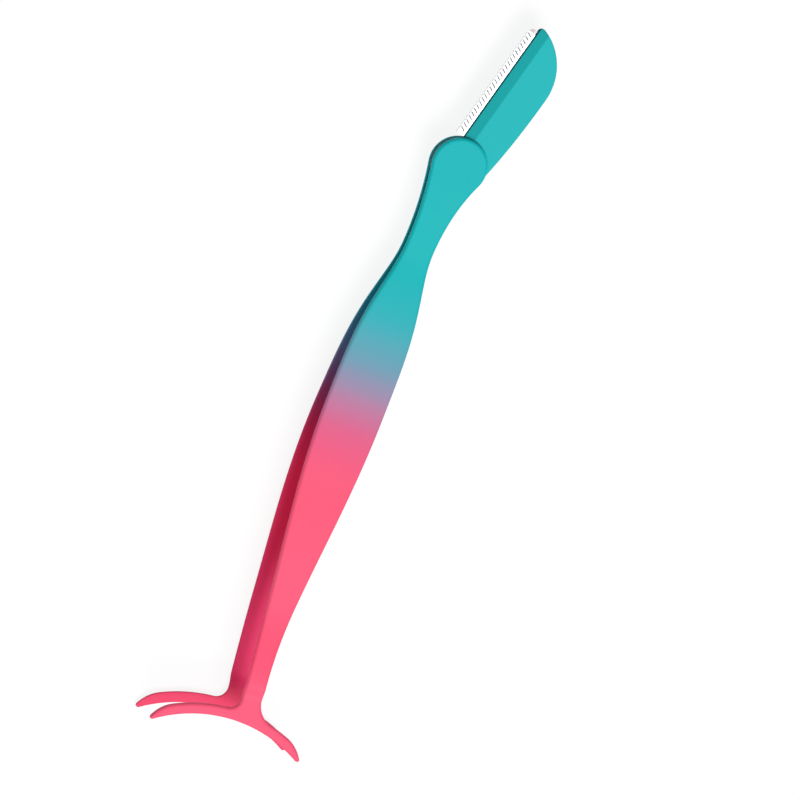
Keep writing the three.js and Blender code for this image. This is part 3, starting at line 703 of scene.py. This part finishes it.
def shape_with(piece, tools, operation):
    """Cuts the tools from a piece, or joins them to it, and removes the tools."""
    for tool in tools:
        step = piece.modifiers.new(tool.name, "BOOLEAN")
        step.operation = operation
        step.solver = "EXACT"
        step.object = tool
    bpy.context.view_layer.update()
    graph = bpy.context.evaluated_depsgraph_get()
    old = piece.data
    piece.data = bpy.data.meshes.new_from_object(piece.evaluated_get(graph))
    piece.modifiers.clear()
    bpy.data.meshes.remove(old)
    for tool in tools:
        data = tool.data
        bpy.data.objects.remove(tool)
        bpy.data.meshes.remove(data)


def holder_half(sizes, name):
    """One half of the holder, in the razor's frame: bevelled face, rounded edge, pocket and holes."""
    rows = [(sizes.seam_break, 0), (0, sizes.seam_break)]
    rows += round_over(sizes.edge_round, HOLDER_HALF, EDGE_STEPS)
    rows.append((sizes.edge_round + sizes.rim, HOLDER_HALF))
    bm = stack(holder_points(sizes), rows)
    bm.faces.ensure_lookup_table()
    top = [bm.faces[-1]]
    crease = sizes.blade_side - sizes.bevel_width
    soft = sizes.crease_soft
    fade_end = sizes.tang_radius - sizes.bevel_fade / 2
    fade_start = fade_end - sizes.bevel_fade
    lines = [((0, y, 0), (0, 1, 0)) for y in (crease - soft, crease + soft)]
    lines += [((x, 0, 0), (1, 0, 0)) for x in steps(fade_start, fade_end, FADE_STEPS)]
    for place, normal in lines:
        parts = list(dict.fromkeys(part for f in top for part in (f, *f.edges, *f.verts)))
        cut = bmesh.ops.bisect_plane(bm, geom=parts, plane_co=place, plane_no=normal, dist=CUT_TOLERANCE)
        faces = [part for part in (*top, *cut["geom"]) if isinstance(part, bmesh.types.BMFace)]
        top = list(dict.fromkeys(f for f in faces if f.is_valid))
    for v in bm.verts:
        if v.co.z > HOLDER_HALF / 2:
            fall = clamp((v.co.y - crease) / sizes.bevel_width, 0, 1)
            v.co.z -= sizes.bevel_drop * fall * ease((v.co.x - fade_start) / sizes.bevel_fade)
    piece = new_object(name, bm)
    depth = sizes.blade_thickness / 2 + sizes.guard_foil + 2 * sizes.seat_clearance
    through = (-HOLDER_HALF, 2 * HOLDER_HALF)
    tools = [
        prism("pocket", pocket_points(sizes), -HOLDER_HALF, depth),
        prism("pivot_hole", circle((0, 0), sizes.pivot_hole, HOLE_STEPS), *through),
        prism("stop_track", track_points(sizes), *through),
    ]
    shape_with(piece, tools, "DIFFERENCE")
    return piece


def comb_mesh(sizes):
    """Mesh of the folded comb, in the razor's frame: two legs joined by teeth over the edge."""
    gap = sizes.blade_thickness / 2 + sizes.seat_clearance
    outside = gap + sizes.guard_foil
    walls = [(side * outside, side * gap) for side in (1, -1)]
    crest = sizes.blade_edge + sizes.guard_lap
    radius = sizes.guard_slot / 2
    root = sizes.guard_root
    slot_floor = crest - sizes.guard_depth
    neck = slot_floor + radius
    pitch = (sizes.guard_end - sizes.blade_start) / sizes.guard_teeth
    middles = [sizes.blade_start + i * pitch for i in range(1, sizes.guard_teeth)]
    starts = [sizes.blade_start, *(middle + radius for middle in middles)]
    ends = [*(middle - radius for middle in middles), sizes.guard_end]
    bm = bmesh.new()

    def point(x, y, z):
        """A corner of the comb. Between its two ends, it leans over along the slots."""
        between = sizes.blade_start < x < sizes.guard_end
        lean = max(y - slot_floor, 0) * math.tan(sizes.guard_lean) if between else 0
        return (x + lean, y, z)

    def face(*corners):
        bm.faces.new([bm.verts.new(point(*corner)) for corner in corners])

    def fold(top, reach):
        """Profile of a tooth's outer or inner surface, from one leg's neck over to the other's."""
        angles = steps(0, math.pi, FOLD_STEPS)
        bend = [(top - reach + reach * math.sin(a), reach * math.cos(a)) for a in angles]
        return [(neck, reach), *bend, (neck, -reach)]

    def legs(x0, y0, x1, y1):
        """A short length of both legs, from the root up to the given heights."""
        for a, b in walls:
            face((x0, root, a), (x1, root, a), (x1, y1, a), (x0, y0, a))
            face((x0, root, b), (x0, y0, b), (x1, y1, b), (x1, root, b))
            face((x0, root, b), (x1, root, b), (x1, root, a), (x0, root, a))

    outer = fold(crest, outside)
    inner = fold(sizes.blade_edge + sizes.seat_clearance, gap)
    for x0, x1 in zip(starts, ends):
        legs(x0, neck, x1, neck)
        for a, b, c, d in zip(outer, outer[1:], inner, inner[1:]):
            face((x0, *a), (x1, *a), (x1, *b), (x0, *b))
            face((x0, *c), (x0, *d), (x1, *d), (x1, *c))
            face((x0, *a), (x0, *b), (x0, *d), (x0, *c))
            face((x1, *a), (x1, *c), (x1, *d), (x1, *b))
    for middle in middles:
        hollow = arc((middle, neck), radius, math.pi, math.tau, SLOT_STEPS)
        for p, q in zip(hollow, hollow[1:]):
            legs(*p, *q)
            for a, b in walls:
                face((*p, a), (*q, a), (*q, b), (*p, b))
    for x in (sizes.blade_start, sizes.guard_end):
        for a, b in walls:
            face((x, root, a), (x, neck, a), (x, neck, b), (x, root, b))
    bmesh.ops.remove_doubles(bm, verts=bm.verts, dist=WELD_DISTANCE)
    bmesh.ops.recalc_face_normals(bm, faces=bm.faces)
    return bm


# Finishes, with the places where each paint of the fade, and each painted shade on the stem and inside the
# leaf, is pure, in millimetres from the pivot

OUTER_FADE = (
    (26, "fade_teal"),
    (38, "fade_first"),
    (47, "fade_lilac"),
    (53, "fade_mauve"),
    (60, "fade_rose"),
    (73, "fade_pink"),
    (98, "fade_pink"),
    # Painted shade on the stem, where it is bent and takes less light
    (111, "stem_shade_pink"),
    (120, "fade_pink"),
)
# Painted shade inside the leaves: deeper colours that stand in for the shade between them
INNER_SHADE_FADE = (
    (24, "inner_shade_teal"),
    (36, "inner_shade_blue"),
    (45, "inner_shade_lilac"),
    (52, "inner_shade_plum"),
    (60, "inner_shade_rose"),
    (73, "inner_shade_pink"),
    (119, "inner_shade_pink"),
    (122.5, "inner_shade_jaw"),
)
NOISE_MIDDLE = 0.5
GRAIN_DETAIL = 2
MOTTLE_DETAIL = 3
LINE_DETAIL = 3


def feed(tree, node, values):
    """Feeds a node's inputs, by name or number, from other sockets or with plain values."""
    for name, value in values.items():
        socket = node.inputs[name]
        if isinstance(value, bpy.types.NodeSocket):
            tree.links.new(value, socket)
        elif socket.type == "RGBA":
            socket.default_value = (*value, 1)
        else:
            socket.default_value = value
    return node


def add_node(tree, kind, values):
    """A new node with some of its inputs fed."""
    return feed(tree, tree.nodes.new(kind), values)


def math_node(tree, operation, first, second):
    """The result of a sum on two sockets or numbers."""
    node = add_node(tree, "ShaderNodeMath", {0: first, 1: second})
    node.operation = operation
    return node.outputs[0]


def noise_node(tree, place, scale, detail):
    """A noise that swings about its middle value."""
    node = add_node(tree, "ShaderNodeTexNoise", {"Vector": place, "Scale": scale, "Detail": detail})
    return node.outputs["Fac"]


def mix_colours(tree, blend, factor, first, second):
    """A colour mixed from two colours or sockets."""
    mix = tree.nodes.new("ShaderNodeMix")
    mix.data_type = "RGBA"
    mix.blend_type = blend
    a, b = [i for i, socket in enumerate(mix.inputs) if socket.type == "RGBA"]
    feed(tree, mix, {"Factor": factor, a: first, b: second})
    return next(socket for socket in mix.outputs if socket.type == "RGBA")


def soft_touch(tree, given):
    """Fine spray grain and slow mottling of a soft matt coat or moulded plastic."""
    grain = noise_node(tree, given["Place"], given["Grain Scale"], GRAIN_DETAIL)
    mottle = noise_node(tree, given["Place"], given["Mottle Scale"], MOTTLE_DETAIL)
    slow = math_node(tree, "SUBTRACT", mottle, NOISE_MIDDLE)
    fine = math_node(tree, "SUBTRACT", grain, NOISE_MIDDLE)
    return grain, slow, math_node(tree, "ADD", slow, fine)


def drawn_steel(tree, given):
    """Fine lines left along steel by drawing, rolling or grinding."""
    scaled = add_node(tree, "ShaderNodeVectorMath", {0: given["Place"], 1: given["Stretch"]})
    scaled.operation = "MULTIPLY"
    lines = noise_node(tree, scaled.outputs[0], given["Line Scale"], LINE_DETAIL)
    swing = math_node(tree, "SUBTRACT", lines, NOISE_MIDDLE)
    return lines, swing, swing


RELIEF_DEPTH = {"soft_touch_grain": 0.02 * MM, "drawn_steel_lines": 0.01 * MM}
# Each grain's pattern and the inputs of its shader group
GRAINS = {
    "soft_touch_grain": (
        soft_touch,
        {
            "Place": (0.0, 0.0, 0.0),
            "Grain Scale": 9000.0,
            "Mottle Scale": 500.0,
            "Roughness Base": 0.5,
            "Roughness Swing": 0.1,
            "Shade Swing": 0.05,
        },
    ),
    "drawn_steel_lines": (
        drawn_steel,
        {
            "Place": (0.0, 0.0, 0.0),
            "Stretch": (1.0, 1.0, 1.0),
            "Line Scale": 6000.0,
            "Roughness Base": 0.3,
            "Roughness Swing": 0.15,
            "Shade Swing": 0.1,
        },
    ),
}


def grain_group(name):
    """The shader group of a grain, built on first use, which puts out height, roughness and shade."""
    found = bpy.data.node_groups.get(name)
    if found:
        return found
    tree = bpy.data.node_groups.new(name, "ShaderNodeTree")
    pattern, inputs = GRAINS[name]
    for socket, value in inputs.items():
        kind = "NodeSocketVector" if isinstance(value, tuple) else "NodeSocketFloat"
        tree.interface.new_socket(name=socket, in_out="INPUT", socket_type=kind).default_value = value
    for socket in ("Height", "Roughness", "Shade"):
        tree.interface.new_socket(name=socket, in_out="OUTPUT", socket_type="NodeSocketFloat")
    given = tree.nodes.new("NodeGroupInput").outputs
    height, rough, tone = pattern(tree, given)
    rough = math_node(tree, "MULTIPLY", rough, given["Roughness Swing"])
    tone = math_node(tree, "MULTIPLY", tone, given["Shade Swing"])
    results = {
        "Height": height,
        "Roughness": math_node(tree, "ADD", rough, given["Roughness Base"]),
        "Shade": math_node(tree, "ADD", tone, 1),
    }
    add_node(tree, "NodeGroupOutput", results)
    return tree


class Finish:
    """A material with a shared grain group feeding its roughness, bump and shade."""

    def __init__(self, name, grain, values, bump, shader=None):
        self.material = bpy.data.materials.new(name)
        self.material.use_nodes = True
        self.tree = self.material.node_tree
        self.place = self.add("ShaderNodeTexCoord").outputs["Object"]
        self.grain = self.add("ShaderNodeGroup")
        self.grain.node_tree = grain_group(grain)
        feed(self.tree, self.grain, {"Place": self.place, **values})
        depth = RELIEF_DEPTH[grain]
        height = self.grain.outputs["Height"]
        relief = self.add("ShaderNodeBump", {"Strength": bump, "Distance": depth, "Height": height})
        normal = relief.outputs["Normal"]
        self.shader = next(n for n in self.tree.nodes if n.type == "BSDF_PRINCIPLED")
        feed(self.tree, self.shader, {"Normal": normal, "Roughness": self.grain.outputs["Roughness"]})
        feed(self.tree, self.shader, shader or {})

    def add(self, kind, values=None):
        """A new node of the material."""
        return add_node(self.tree, kind, values or {})

    def two_tone(self, place, start, end, first, second):
        """A colour that goes from one colour, or socket, to another as the place goes from start to end."""
        ramp = self.add("ShaderNodeMapRange", {"Value": place, "From Min": start, "From Max": end})
        return mix_colours(self.tree, "MIX", ramp.outputs["Result"], first, second)

    def fade(self, place, stops, colours, arm_length):
        """A colour that fades along the leaf through its stops."""
        ramp = self.add("ShaderNodeValToRGB", {"Fac": place})
        ramp.color_ramp.interpolation = "CARDINAL"
        elements = ramp.color_ramp.elements
        for at, _ in stops[1:-1]:
            elements.new(at * MM / arm_length)
        for element, (at, tint) in zip(elements, stops):
            element.position = at * MM / arm_length
            element.color = (*getattr(colours, tint), 1)
        return ramp.outputs["Color"]

    def along_razor(self, sizes):
        """Turns the grain into the razor's own frame, and gives the place there split into x, y and z."""
        turned = self.tree.nodes.new("ShaderNodeMapping")
        turned.vector_type = "TEXTURE"
        turn_back = (0, 0, -sizes.tilt)
        feed(self.tree, turned, {"Vector": self.place, "Location": PIVOT, "Rotation": turn_back})
        feed(self.tree, self.grain, {"Place": turned.outputs["Vector"]})
        return self.add("ShaderNodeSeparateXYZ", {0: turned.outputs["Vector"]}).outputs

    def paint(self, tint):
        """The material with its base colour, from a plain colour or a socket, shaded by the grain."""
        shaded = mix_colours(self.tree, "MULTIPLY", 1, tint, self.grain.outputs["Shade"])
        feed(self.tree, self.shader, {"Base Color": shaded})
        return self.material


def fade_paint(colours, arm_length):
    """Soft-touch paint that fades from teal at the heel to pink at the jaws, with deeper colours on the
    inner faces that are painted shade between the leaves.
    """
    values = {"Grain Scale": 7000, "Mottle Scale": 350, "Roughness Base": 0.56, "Roughness Swing": 0.12}
    finish = Finish("fade_paint", "soft_touch_grain", values, bump=0.12, shader={"Specular IOR Level": 0.22})
    along = finish.add("ShaderNodeUVMap")
    along.uv_map = "along"
    place = finish.add("ShaderNodeSeparateXYZ", {0: along.outputs["UV"]}).outputs["X"]
    # The inner faces take the painted shade of the inner fade
    fades = [finish.fade(place, stops, colours, arm_length) for stops in (OUTER_FADE, INNER_SHADE_FADE)]
    side = finish.add("ShaderNodeAttribute")
    side.attribute_name = "inside"
    return finish.paint(finish.two_tone(side.outputs["Fac"], 0, 1, *fades))


def holder_plastic(colours, sizes):
    """Matt moulded plastic of the razor's holder, with painted shade: darker teal along the bevel over the
    blade, and a painted shadow line along the blade side.
    """
    values = {"Grain Scale": 6000, "Mottle Scale": 300, "Roughness Base": 0.5, "Roughness Swing": 0.12}
    sheen = {"Specular IOR Level": 0.12}
    finish = Finish("holder_plastic", "soft_touch_grain", values, bump=0.12, shader=sheen)
    place = finish.along_razor(sizes)["Y"]
    # Painted shade on the bevel, which faces away from the light
    crease = sizes.blade_side - sizes.bevel_width
    soft = sizes.crease_soft
    face = finish.two_tone(place, crease - soft, crease + soft, colours.holder_teal, colours.bevel_shade_teal)
    # Painted shadow: a dark line along the blade side, where the gap between holder and blade lies in shade
    shadow_line_start = sizes.blade_side - sizes.blade_gap_shadow_width
    return finish.paint(finish.two_tone(place, shadow_line_start, shadow_line_start + sizes.rim, face, colours.blade_gap_shadow_teal))


def spacer_plastic(colours):
    """Moulded plastic of the spacer between the heels."""
    values = {"Grain Scale": 5000, "Mottle Scale": 600, "Roughness Base": 0.45, "Shade Swing": 0.08}
    return Finish("spacer_plastic", "soft_touch_grain", values, bump=0.15).paint(colours.spacer_teal)


def washer_nylon(colours):
    """Milky nylon of the washers."""
    values = {"Grain Scale": 4000, "Mottle Scale": 900, "Roughness Base": 0.42, "Shade Swing": 0.06}
    milky = {"Subsurface Weight": 0.15, "Subsurface Radius": (0.4 * MM, 0.4 * MM, 0.4 * MM)}
    finish = Finish("washer_nylon", "soft_touch_grain", values, bump=0.1, shader=milky)
    return finish.paint(colours.nylon_white)


def bare_steel(name, values, bump):
    """Steel with the lines of its making."""
    return Finish(name, "drawn_steel_lines", values, bump, {"Metallic": 1})


def pin_steel(colours):
    """Drawn steel of the pins, with lines along their length."""
    values = {"Stretch": (1, 1, 0.06), "Line Scale": 9000, "Roughness Base": 0.32}
    return bare_steel("pin_steel", values, bump=0.2).paint(colours.pin_grey)


def blade_steel(colours, sizes):
    """Rolled strip steel with a darker ground band along the cutting edge."""
    values = {"Stretch": (0.06, 1, 1), "Line Scale": 8000, "Roughness Base": 0.28}
    finish = bare_steel("blade_steel", values, bump=0.2)
    place = finish.along_razor(sizes)
    ground = sizes.blade_edge - sizes.grind_width
    rim = sizes.rim
    edge = finish.two_tone(place["Y"], ground - rim, ground + rim, colours.blade_grey, colours.grind_grey)
    end = sizes.guard_end
    return finish.paint(finish.two_tone(place["X"], end, end + rim, edge, colours.blade_grey))


def guard_steel(colours, sizes):
    """Bright rolled sheet of the comb guard."""
    values = {"Stretch": (0.1, 1, 1), "Line Scale": 7000, "Roughness Base": 0.34}
    finish = bare_steel("guard_steel", values, bump=0.15)
    finish.along_razor(sizes)
    return finish.paint(colours.guard_grey)


def give(piece, material):
    """Puts one material on all faces of a piece."""
    if not piece.material_slots:
        piece.data.materials.append(material)
    for slot in piece.material_slots:
        slot.material = material


def dress_razor_piece(piece, sizes, material):
    """Places a piece on the open razor, with soft rounds between crisp edges, and gives it its finish."""
    mesh = piece.data
    mesh.transform(razor_place(sizes))
    mesh.polygons.foreach_set("use_smooth", [True] * len(mesh.polygons))
    mesh.set_sharp_from_angle(angle=SHARP_ANGLE)
    weigh = piece.modifiers.new("flat_faces", "WEIGHTED_NORMAL")
    weigh.keep_sharp = True
    weigh.weight = FLAT_WEIGHT
    give(piece, material)


# Operators, one for each piece or group of like pieces


class TWEEZERS_OT_leaves(bpy.types.Operator):
    """Build the two painted leaves, each in one piece from head to jaw"""

    bl_idname = "tweezers.leaves"
    bl_label = "Leaves"

    def execute(self, context):
        sizes = context.scene.tweezers_leaf
        paint = fade_paint(context.scene.tweezers_finish, sizes.arm_length)
        for name, mirror in (("front", 1), ("rear", -1)):
            leaf = new_object(f"{name}_leaf", leaf_mesh(sizes, mirror))
            give(leaf, paint)
            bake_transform(leaf)
            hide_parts(f"{name}_leaf_heel", f"{name}_leaf_arm")
        return {"FINISHED"}


class TWEEZERS_OT_holder(bpy.types.Operator):
    """Build the two halves of the razor's holder"""

    bl_idname = "tweezers.holder"
    bl_label = "Razor holder"

    def execute(self, context):
        sizes = context.scene.tweezers_razor
        plastic = holder_plastic(context.scene.tweezers_finish, sizes)
        front = holder_half(sizes, "holder_front")
        gap = sizes.post_clearance
        sockets = posts(sizes, sizes.post_radius + gap, -HOLDER_HALF, sizes.post_top + gap)
        shape_with(front, sockets, "DIFFERENCE")
        rear = holder_half(sizes, "holder_rear")
        pegs = posts(sizes, sizes.post_radius, -sizes.post_top, sizes.post_root * HOLDER_HALF)
        shape_with(rear, pegs, "UNION")
        rear.data.transform(Matrix.Scale(-1, 4, (0, 0, 1)))
        rear.data.flip_normals()
        for piece, node in ((front, "razor_holder_front"), (rear, "razor_holder_rear")):
            dress_razor_piece(piece, sizes, plastic)
            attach(piece, "razor")
            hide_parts(node)
        return {"FINISHED"}


class TWEEZERS_OT_blade(bpy.types.Operator):
    """Give the blade its rolled and ground steel"""

    bl_idname = "tweezers.blade"
    bl_label = "Blade"

    def execute(self, context):
        scene = context.scene
        give(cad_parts["razor_blade"], blade_steel(scene.tweezers_finish, scene.tweezers_razor))
        return {"FINISHED"}


class TWEEZERS_OT_guard(bpy.types.Operator):
    """Build the folded comb guard over the blade's edge"""

    bl_idname = "tweezers.guard"
    bl_label = "Comb guard"

    def execute(self, context):
        sizes = context.scene.tweezers_razor
        guard = new_object("comb_guard", comb_mesh(sizes))
        dress_razor_piece(guard, sizes, guard_steel(context.scene.tweezers_finish, sizes))
        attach(guard, "razor")
        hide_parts("blade_guard")
        return {"FINISHED"}


class TWEEZERS_OT_fittings(bpy.types.Operator):
    """Give the pins, washers and spacer between the heels their finishes"""

    bl_idname = "tweezers.fittings"
    bl_label = "Heel fittings"

    def execute(self, context):
        colours = context.scene.tweezers_finish
        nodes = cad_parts
        drawn = pin_steel(colours)
        for name in ("pivot_pin", "stop_pin", "spacer_pin_upper", "spacer_pin_lower"):
            give(nodes[name], drawn)
        nylon = washer_nylon(colours)
        for name in ("front_pivot_washer", "rear_pivot_washer"):
            give(nodes[name], nylon)
        give(nodes["back_spacer"], spacer_plastic(colours))
        return {"FINISHED"}


class TWEEZERS_OT_stage(bpy.types.Operator):
    """Set the pale floor, the soft light and the camera"""

    bl_idname = "tweezers.stage"
    bl_label = "Stage"

    def execute(self, context):
        scene = context.scene
        setup = scene.tweezers_stage
        scene.view_settings.view_transform = "Standard"
        self.world(scene, setup)
        self.floor(setup)
        view = self.view(setup)
        self.camera(scene, setup, view)
        self.lamp(setup, view)
        return {"FINISHED"}

    @staticmethod
    def seen(tree):
        """1 for rays that show the background itself: camera, glossy and transmission rays."""
        path = tree.nodes.new("ShaderNodeLightPath").outputs
        either = math_node(tree, "MAXIMUM", path["Is Camera Ray"], path["Is Glossy Ray"])
        return math_node(tree, "MAXIMUM", either, path["Is Transmission Ray"])

    def world(self, scene, setup):
        """Even light from all round, before a background that shows white."""
        world = bpy.data.worlds.new("studio")
        world.use_nodes = True
        tree = world.node_tree
        extra = math_node(tree, "MULTIPLY", self.seen(tree), 1 - setup.ambient)
        level = math_node(tree, "ADD", extra, setup.ambient)
        back = next(n for n in tree.nodes if n.type == "BACKGROUND")
        feed(tree, back, {"Color": (1, 1, 1), "Strength": level})
        scene.world = world

    def floor(self, setup):
        """A matt floor that takes the shadow, with most of its white shining by itself."""
        bm = bmesh.new()
        bmesh.ops.create_grid(bm, x_segments=2, y_segments=2, size=setup.floor_size)
        floor = new_object("floor", bm)
        floor.location.z = CAD_BOX[0].z - setup.floor_drop
        material = bpy.data.materials.new("pale_floor")
        material.use_nodes = True
        tree = material.node_tree
        tree.nodes.clear()
        matt = add_node(tree, "ShaderNodeBsdfDiffuse", {"Color": [setup.floor_grey] * 3})
        glow = add_node(tree, "ShaderNodeEmission", {"Strength": setup.floor_white})
        part = math_node(tree, "MULTIPLY", self.seen(tree), setup.floor_glow)
        mix = add_node(tree, "ShaderNodeMixShader", {0: part, 1: matt.outputs[0], 2: glow.outputs[0]})
        add_node(tree, "ShaderNodeOutputMaterial", {"Surface": mix.outputs[0]})
        give(floor, material)

    @staticmethod
    def view(setup):
        """Turn of the camera, and the place that it looks at."""
        turned = Matrix.Rotation(setup.azimuth + math.pi / 2, 3, "Z")
        turned @= Matrix.Rotation(math.pi / 2 - setup.elevation, 3, "X")
        turned @= Matrix.Rotation(setup.roll, 3, "Z")
        return turned, PIVOT + turned @ Vector((setup.aim_right, setup.aim_up, 0))

    @staticmethod
    def camera(scene, setup, view):
        """A camera so far away that the picture is as wide as the field."""
        turned, aim = view
        data = bpy.data.cameras.new("camera")
        data.lens = setup.lens
        data.sensor_width = setup.sensor
        data.clip_end = setup.sight
        away = turned @ Vector((0, 0, setup.field * setup.lens / setup.sensor))
        camera = link_object("camera", data)
        camera.matrix_world = Matrix.Translation(aim + away) @ turned.to_4x4()
        scene.camera = camera

    @staticmethod
    def lamp(setup, view):
        """A soft square lamp beside the camera, facing the same place."""
        turned, aim = view
        data = bpy.data.lights.new("key", "AREA")
        data.shape = "SQUARE"
        data.size = setup.key_size
        data.energy = setup.key_power
        way = turned @ Vector((setup.key_right, setup.key_up, 1))
        lamp = link_object("key", data)
        lamp.location = aim + way.normalized() * setup.key_distance
        lamp.rotation_mode = "QUATERNION"
        lamp.rotation_quaternion = way.to_track_quat("Z", "Y")


OPERATORS = (
    TWEEZERS_OT_leaves,
    TWEEZERS_OT_holder,
    TWEEZERS_OT_blade,
    TWEEZERS_OT_guard,
    TWEEZERS_OT_fittings,
    TWEEZERS_OT_stage,
)
SETTINGS = {
    "tweezers_leaf": LeafShape,
    "tweezers_razor": RazorShape,
    "tweezers_finish": Finishes,
    "tweezers_stage": StageSetup,
}


class TWEEZERS_PT_panel(bpy.types.Panel):
    """Pieces of the tweezers, in the order in which they are built"""

    bl_idname = "TWEEZERS_PT_panel"
    bl_label = "Tweezers"
    bl_space_type = "VIEW_3D"
    bl_region_type = "UI"
    bl_category = "Tweezers"

    def draw(self, context):
        for operator in OPERATORS:
            self.layout.operator(operator.bl_idname)


def register():
    for name, settings in SETTINGS.items():
        bpy.utils.register_class(settings)
        setattr(bpy.types.Scene, name, PointerProperty(type=settings))
    for item in (*OPERATORS, TWEEZERS_PT_panel):
        bpy.utils.register_class(item)


def unregister():
    for item in (TWEEZERS_PT_panel, *reversed(OPERATORS)):
        bpy.utils.unregister_class(item)
    for name, settings in SETTINGS.items():
        delattr(bpy.types.Scene, name)
        bpy.utils.unregister_class(settings)


def main():
    register()
    bpy.ops.tweezers.leaves()
    bpy.ops.tweezers.holder()
    bpy.ops.tweezers.blade()
    bpy.ops.tweezers.guard()
    bpy.ops.tweezers.fittings()
    bpy.ops.tweezers.stage()
    bpy.context.view_layer.update()


if __name__ == "__main__":
    main()
